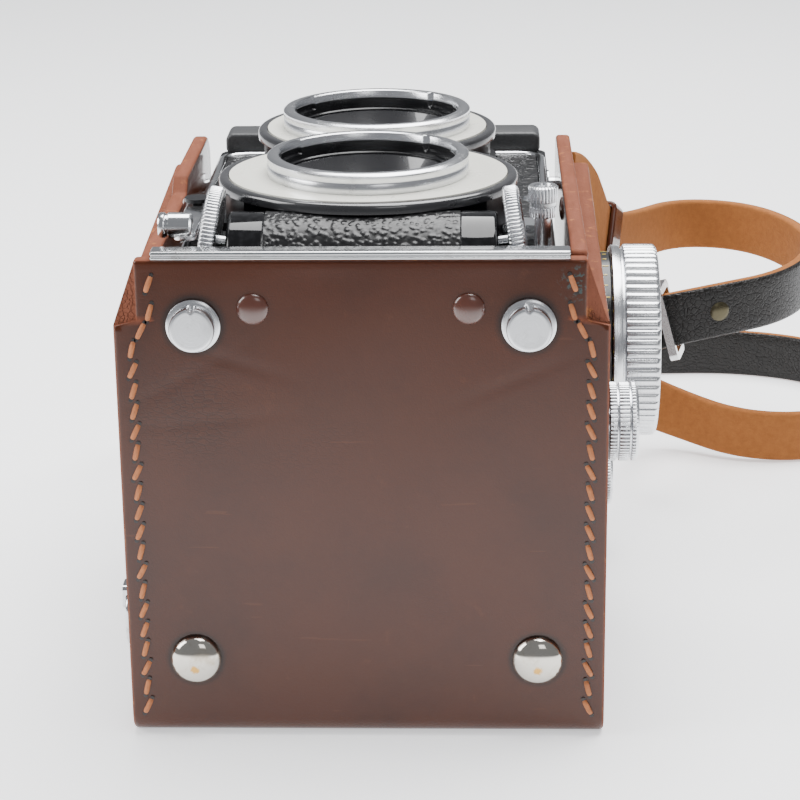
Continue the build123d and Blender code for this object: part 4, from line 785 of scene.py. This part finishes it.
# ---- camera body ----
# Die-cast box painted with black crackle, with leatherette on its front inside a plated edging.
# The block over the lenses would carry a name, and here it is plain.
def cad_outline(node, height, count, beyond=0.0162):
    """Outer edge of a CAD node at that height, beyond a radius from both lens axes, evenly by angle."""
    points = np.array([v.co for v in frame["nodes"][node].data.vertices], float)
    points = points[np.abs(points[:, 2] - height) < 0.00005][:, :2] - LENS_MIDDLE
    for y in (-LENS_GAP / 2, LENS_GAP / 2):
        points = points[np.hypot(points[:, 0], points[:, 1] - y) > beyond]
    angle = np.arctan2(points[:, 1], points[:, 0])
    order = np.argsort(angle)
    even = np.linspace(-math.pi, math.pi, count, endpoint=False)
    radius = np.interp(even, angle[order], np.hypot(*points[order].T), period=2 * math.pi)
    return np.stack([radius * np.cos(even), radius * np.sin(even)], -1) + LENS_MIDDLE


LENS_GAP = 0.0356
LENS_MIDDLE = np.array((0.0, LENS_GAP / 2))


def edging():
    """Plated moulding round the front: a half-round section carried along a rounded rectangle."""
    lo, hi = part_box("front_trim")
    outline = rectangle(lo.x, lo.y, hi.x, hi.y, 0.005, math.radians(6))
    width, height = 0.0016, hi.z - lo.z
    rings = [raised(inset(outline, width * (1 - math.cos(t)) / 2), lo.z + height * math.sin(t) ** 0.7)
             for t in np.linspace(0, math.pi, 9)]
    loft("front_edging", rings, BODY, "chrome_trim", closed=True, stands_for=["front_trim"])


def name_block():
    """Plain block with soft edges, its outline in X and Z."""
    lo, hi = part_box("name_block")
    outline = rounded([(lo.x, lo.z, 0.0012), (hi.x, lo.z, 0.0012), (hi.x, hi.z, 0.0014),
                       (lo.x, hi.z, 0.0014)])
    slab("name_plate_block", outline, "Y", lo.y, hi.y, 0.0006, BODY, "hood_grey", stands_for=["name_block"])


def lid_cover():
    """Leatherette glued on the hood's lid, a little inside its edges."""
    top = high("hood_lid").y
    outline = rectangle(-0.0265, 0.011, 0.0265, 0.069, 0.002)
    slab("lid_leatherette", outline, "Y", top - 0.0001, top + 0.0004, 0.0002, "hood_lid", "black_leatherette")


edging()
name_block()
lid_cover()


# ---- knobs ----
# All are turned from aluminium and knurled on the lathe. The focusing knob has a smooth skirt and a
# broad fluted grip over a fixed black scale, and the film knobs have three narrow tiers.
FOCUS_AXIS = (0, 0.0132, 0.0535)


def on_axis(node):
    """Middle of a node's box in Y and Z, on the plane X = 0."""
    middle = (low(node) + high(node)) / 2
    return (0, middle.y, middle.z)


def focus_knob():
    """Lathe profile from the hidden shaft's inner end to the dished face."""
    face = high("focus_knob").x
    knob = face - 0.00805
    profile = [
        (0, 0.027), (0.006, 0.027), (0.006, 0.0287), (0.003, 0.0287), (0.003, knob), (0.0157, knob),
        (0.0161, knob + 0.0001), (0.0163, knob + 0.0003), (0.0163, knob + 0.0015), (0.0162, knob + 0.0017),
        (0.0157, knob + 0.0018), (0.0157, knob + 0.0021), (0.016, knob + 0.0022),
        (0.0164, knob + 0.0024, 0.6), (0.0165, knob + 0.0027, 1.0), (0.0165, face - 0.0008, 1.0),
        (0.0164, face - 0.0004, 0.8), (0.016, face - 0.0001), (0.0157, face), (0.0142, face),
        (0.0139, face - 0.0001), (0.0134, face - 0.0008), (0.006, face - 0.0008), (0.004, face - 0.0008),
        (0.0034, face - 0.0004), (0.003, face - 0.0003), (0, face - 0.0003)]
    lathe("focusing_knob", profile, FOCUS_AXIS, (1, 0, 0), "focus_knob", TURNED, turns=62 * 10, flutes=62,
          depth=0.00045, stands_for=["focus_knob"])


def tiered(name, node, radius):
    """Film knob: a shaft, then three knurled tiers parted by plain grooves, ending in a bevel."""
    end = high(node).x
    start = end - 0.0046
    profile = [(0, 0.02), (0.0024, 0.02), (0.0024, start)]
    for z0, z1 in ((0.0, 0.0012), (0.0015, 0.0032), (0.0035, 0.0042)):
        profile += [(radius - 0.0003, start + z0), (radius, start + z0 + 0.0001, 1.0),
                    (radius, start + z1 - 0.0001, 1.0), (radius - 0.0003, start + z1)]
        if z1 < 0.004:
            profile += [(radius - 0.0005, start + z1), (radius - 0.0005, start + z1 + 0.0002)]
    profile += [(radius - 0.0007, end), (radius - 0.002, end), (0, end - 0.0001)]
    lathe(name, profile, on_axis(node), (1, 0, 0), node, TURNED,
          turns=480, flutes=60, depth=0.00028, stands_for=[node])


def wind_knob():
    """One broad knurled tier with a shallow dish in its face."""
    start, end = -0.0389, low("wind_knob").x
    profile = [
        (0, -0.02), (0.0024, -0.02), (0.0024, start), (0.0078, start), (0.0081, start - 0.0002),
        (0.0082, start - 0.0005, 1.0), (0.0082, end + 0.0009, 1.0), (0.0081, end + 0.0006, 1.0),
        (0.0077, end + 0.0001), (0.0074, end), (0.0056, end), (0.0052, end + 0.0004), (0, end + 0.0004)]
    lathe("winding_knob", profile, on_axis("wind_knob"), (1, 0, 0), "wind_knob", TURNED,
          turns=480, flutes=60, depth=0.0003, stands_for=["wind_knob"])


def scale_ticks():
    """Yellow marks on the rim of the fixed scale behind the focusing knob, every third one longer."""
    lo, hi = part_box("depth_scale_ring")
    centre = FOCUS_AXIS + np.array(((lo.x + hi.x) / 2, 0, 0))
    radius, count = (hi.z - lo.z) / 2, 40
    ticks = []
    for n in range(count):
        angle = 2 * math.pi * n / count
        half = np.array((0.0006 if n % 3 == 0 else 0.0003, 0, 0))
        out = np.array((0, math.cos(angle), math.sin(angle)))
        across = np.array((0, -math.sin(angle), math.cos(angle))) * 0.00012
        corners = [across * v + half * u for u, v in ((-1, -1), (-1, 1), (1, 1), (1, -1))]
        ticks.append([[centre + out * r + corner for corner in corners]
                      for r in (radius - 0.0003, radius + 0.00006)])
    paint = finish("scale_yellow", enamel((0.75, 0.55, 0.1), (0.62, 0.44, 0.08)))
    loft("scale_ticks", ticks, BODY, "scale_black", material=paint)


focus_knob()
tiered("supply_film_knob", "supply_knob", 0.00635)
tiered("takeup_film_knob", "takeup_knob", 0.0056)
wind_knob()
scale_ticks()


# ---- lenses and their panel ----
# A black metal rim holds an ivory enamelled plate in a figure of eight. Each lens has a turned
# aluminium bezel with a bayonet, a glossy black cone and a coated front glass.
GLOSS = finish("rim_gloss", enamel((0.012, 0.012, 0.014), (0.02, 0.02, 0.022)), Coat_Weight=1.0,
               Coat_Roughness=0.05)
RING_METAL = finish("turned_ring", black_inside)
FRONT = "front_standard"


def panel_rim():
    """Ring between the panel's outer edge and the ivory plate's edge, with a rounded crown."""
    lo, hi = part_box("panel_rim")
    count = 360
    outer = cad_outline("panel_rim", lo.z, count)
    inner = cad_outline("lens_panel", low("lens_panel").z, count)
    rows = [(0.0, lo.z), (0.0, hi.z - 0.0007), (0.05, hi.z - 0.0004), (0.16, hi.z - 0.00015), (0.32, hi.z),
            (0.75, hi.z), (0.93, hi.z - 0.0001), (0.97, hi.z - 0.0003), (0.97, lo.z)]
    rings = [raised(outer + (inner - outer) * share, z) for share, z in rows]
    loft("panel_edge", rings, FRONT, "body_black", closed=True, material=GLOSS,
         stands_for=["panel_rim"])


def bezel(word, y):
    """Turned ring whose bore has three bayonet gaps; the profile runs once round its section."""
    lo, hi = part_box(f"{word}_bezel")
    top, seat = hi.z, hi.z - 0.0034

    def gaps(radius, height, angle):
        inside = (radius < 0.0149) & (height > seat + 0.001)
        open_here = np.clip((np.cos(3 * (angle + 0.4)) - 0.72) / 0.06, 0, 1)
        return radius + inside * open_here * 0.0006

    profile = [
        (0.0138, lo.z), (0.0138, seat), (0.014, seat + 0.0002), (0.0145, seat + 0.0002),
        (0.0145, seat + 0.0009), (0.0145, seat + 0.0011), (0.0145, top - 0.0003), (0.01465, top - 0.0001),
        (0.0149, top), (0.0158, top), (0.0162, top - 0.0001), (0.0165, top - 0.0004), (0.0165, top - 0.0012),
        (0.01635, top - 0.0014), (0.01635, top - 0.0017), (0.0165, top - 0.0019), (0.0165, seat + 0.0002),
        (0.0164, seat), (0.0152, seat), (0.0152, lo.z)]
    painted = np.array([r < 0.0148 and z < seat + 0.0012 for r, z in profile], float)
    lathe(f"{word}_ring", profile, (0, y, 0), (0, 0, 1), FRONT, TURNED, turns=240,
          shape=gaps, closed=True, stands_for=[f"{word}_bezel"], material=RING_METAL,
          painted=np.repeat(painted[:, None], 240, 1))


def barrel(word, y):
    """Black tube with a plain glossy cone in front, and three light-trap ridges next to the glass."""
    lo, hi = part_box(f"{word}_barrel")
    top, throat = hi.z, hi.z - 0.005
    profile = []
    for n in range(3):
        r, z = 0.0097 + 0.0008 * n / 3, throat + 0.0012 * n / 3
        profile += [(r, z), (r + 0.00018, z + 0.00006), (r + 0.0002, z + 0.00034)]
    profile += [
        (0.0106, throat + 0.0013), (0.013, top), (0.0136, top), (0.0136, top - 0.0045), (0.013, top - 0.0045),
        (0.013, lo.z), (0.0075, lo.z), (0.0075, throat - 0.005), (0.0097, throat - 0.0035)]
    lathe(f"{word}_mount", profile, (0, y, 0), (0, 0, 1), FRONT, "body_black", turns=128,
          closed=True, material=GLOSS, stands_for=[f"{word}_barrel"])


def front_glass(word, y):
    """Flat-backed glass: height of its front at radius r is edge + sag * (1 - (r / R) ** 2)."""
    lo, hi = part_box(f"{word}_front_glass")
    radius, sag = 0.0096, 0.0022
    front = [(radius * s, hi.z - sag * s * s) for s in np.linspace(1, 0, 16)]
    lathe(f"{word}_glass", [(0, lo.z), (radius, lo.z)] + front, (0, y, 0), (0, 0, 1), FRONT,
          "lens_glass", turns=96, stands_for=[f"{word}_front_glass"])


panel_rim()
for word, y in (("taking", 0.0), ("viewing", LENS_GAP)):
    bezel(word, y)
    barrel(word, y)
    front_glass(word, y)


# ---- drum, thumb wheels, lever and flash terminal ----
# The half-round drum under the taking lens is covered with leatherette between black ends. A finely
# knurled silver wheel stands at each end, tilted back, with the release lever on the left.
DRUM_FINISH = finish("drum_leatherette", drum_cover, Specular_IOR_Level=0.45)
WHEEL_X, WHEEL_Y, WHEEL_Z, WHEEL_TILT = 0.0242, -0.0186, 0.08, math.radians(9)
FLASH_POST = (0.0282, -0.0156, 0)


def drum():
    """Segment of a circle over the flange, in Y and Z, cut flat at the back and carried along X."""
    lo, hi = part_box("drum_housing")
    radius = 0.008
    middle_y, middle_z = lo.y + radius + 0.0001, hi.z - radius
    back_y = middle_y + 0.0045
    start = math.asin((lo.z - middle_z) / radius)
    arc = [(middle_y + radius * math.cos(a), middle_z + radius * math.sin(a))
           for a in np.linspace(start, math.pi - start, 48)]
    arc = [p for p in arc if p[0] < back_y]
    slab("drum_cover", np.array([(back_y, lo.z), (back_y, arc[0][1])] + arc), "X", lo.x, hi.x, 0.0007,
         FRONT, "black_leatherette", material=DRUM_FINISH, stands_for=["drum_housing"])


def thumb_wheel(name, node, side):
    """Wheel and axle about the tilted axis, its rim cut with fine straight knurls."""
    profile = [
        (0, -0.0039), (0.0009, -0.0039), (0.0009, -0.0013), (0.0074, -0.0013), (0.008, -0.00125),
        (0.0084, -0.001, 0.8), (0.0085, -0.0008, 1.0), (0.0085, 0.0008, 1.0), (0.0084, 0.001, 0.8),
        (0.008, 0.00125), (0.0076, 0.0013), (0.0072, 0.0013), (0.0069, 0.001), (0.003, 0.001),
        (0.0027, 0.0013), (0, 0.0013)]
    axle = (side * math.cos(WHEEL_TILT), 0, math.sin(WHEEL_TILT))
    lathe(name, profile, (side * WHEEL_X, WHEEL_Y, WHEEL_Z), axle, node, TURNED, turns=84 * 8, flutes=84,
          depth=0.00024, stands_for=[node])


def release_lever():
    """Flat arm with round ends on its post, and a round grip that points outwards at its free end."""
    x, y0, y1, half = -0.0278, -0.0034, -0.0218, 0.0017
    turn = np.linspace(0, math.pi, 13)
    outline = np.array([(x + half * math.cos(t), y0 + half * math.sin(t)) for t in turn]
                       + [(x - half * math.cos(t), y1 - half * math.sin(t)) for t in turn])
    slab("release_arm", outline, "Z", 0.0808, 0.0822, 0.0003, "release_lever", "chrome_trim",
         stands_for=["release_lever"])
    profile = [
        (0, -0.0001), (0.0017, 0.0), (0.002, 0.0003), (0.002, 0.0036), (0.0018, 0.0038), (0.0018, 0.0041),
        (0.002, 0.0043), (0.002, 0.0049), (0.0018, 0.0052), (0, 0.0053)]
    lathe("release_grip", profile, (x + 0.0012, y1, 0.0832), (-1, 0, 0), "release_lever", "chrome_trim",
          turns=48)


def flash_collars():
    """Two knurled collars round the flash post, the upper one open in the middle."""
    low_collar = [
        (0.0016, 0.0828), (0.0019, 0.0828), (0.00215, 0.083, 1.0), (0.00215, 0.0845, 1.0), (0.0019, 0.0847),
        (0.0016, 0.0847)]
    top_collar = [
        (0.0014, 0.0858), (0.0014, 0.0877), (0.00155, 0.0879), (0.0021, 0.0879), (0.00236, 0.0877, 1.0),
        (0.00236, 0.0855, 1.0), (0.0021, 0.0853), (0.0016, 0.0853)]
    for word, profile, flutes in (("low", low_collar, 24), ("top", top_collar, 26)):
        lathe(f"flash_collar_{word}", profile, FLASH_POST, (0, 0, 1), FRONT, TURNED, turns=8 * flutes,
              flutes=flutes, depth=0.00014, closed=True)


drum()
thumb_wheel("speed_thumb_wheel", "speed_wheel", -1)
thumb_wheel("aperture_thumb_wheel", "aperture_wheel", 1)
release_lever()
flash_collars()


# ---- floor ----
# A plain pale sheet, a little grey in front, that the case lies on. It isn't part of the object.
def sheet_white(w):
    """White near the object, falling to grey on the side that the camera looks from."""
    near = w.axis("Y").step(-0.36, -0.11)
    return {"Base_Color": near.mix((0.36, 0.36, 0.365), (0.9, 0.9, 0.9)),
            "Emission_Color": near.mix((0.12, 0.125, 0.13), (0.95, 0.97, 1.0))}


def floor(reach=3.0):
    """Flat square sheet at Z = 0, that far to each side."""
    mesh = bpy.data.meshes.new("floor")
    corners = [(-reach, -reach, 0), (reach, -reach, 0), (reach, reach, 0), (-reach, reach, 0)]
    mesh.from_pydata(corners, [], [(0, 1, 2, 3)])
    mesh.materials.append(finish("pale_floor", sheet_white, Roughness=0.6, Emission_Strength=0.8))
    sheet = bpy.data.objects.new("floor", mesh)
    bpy.context.scene.collection.objects.link(sheet)


floor()
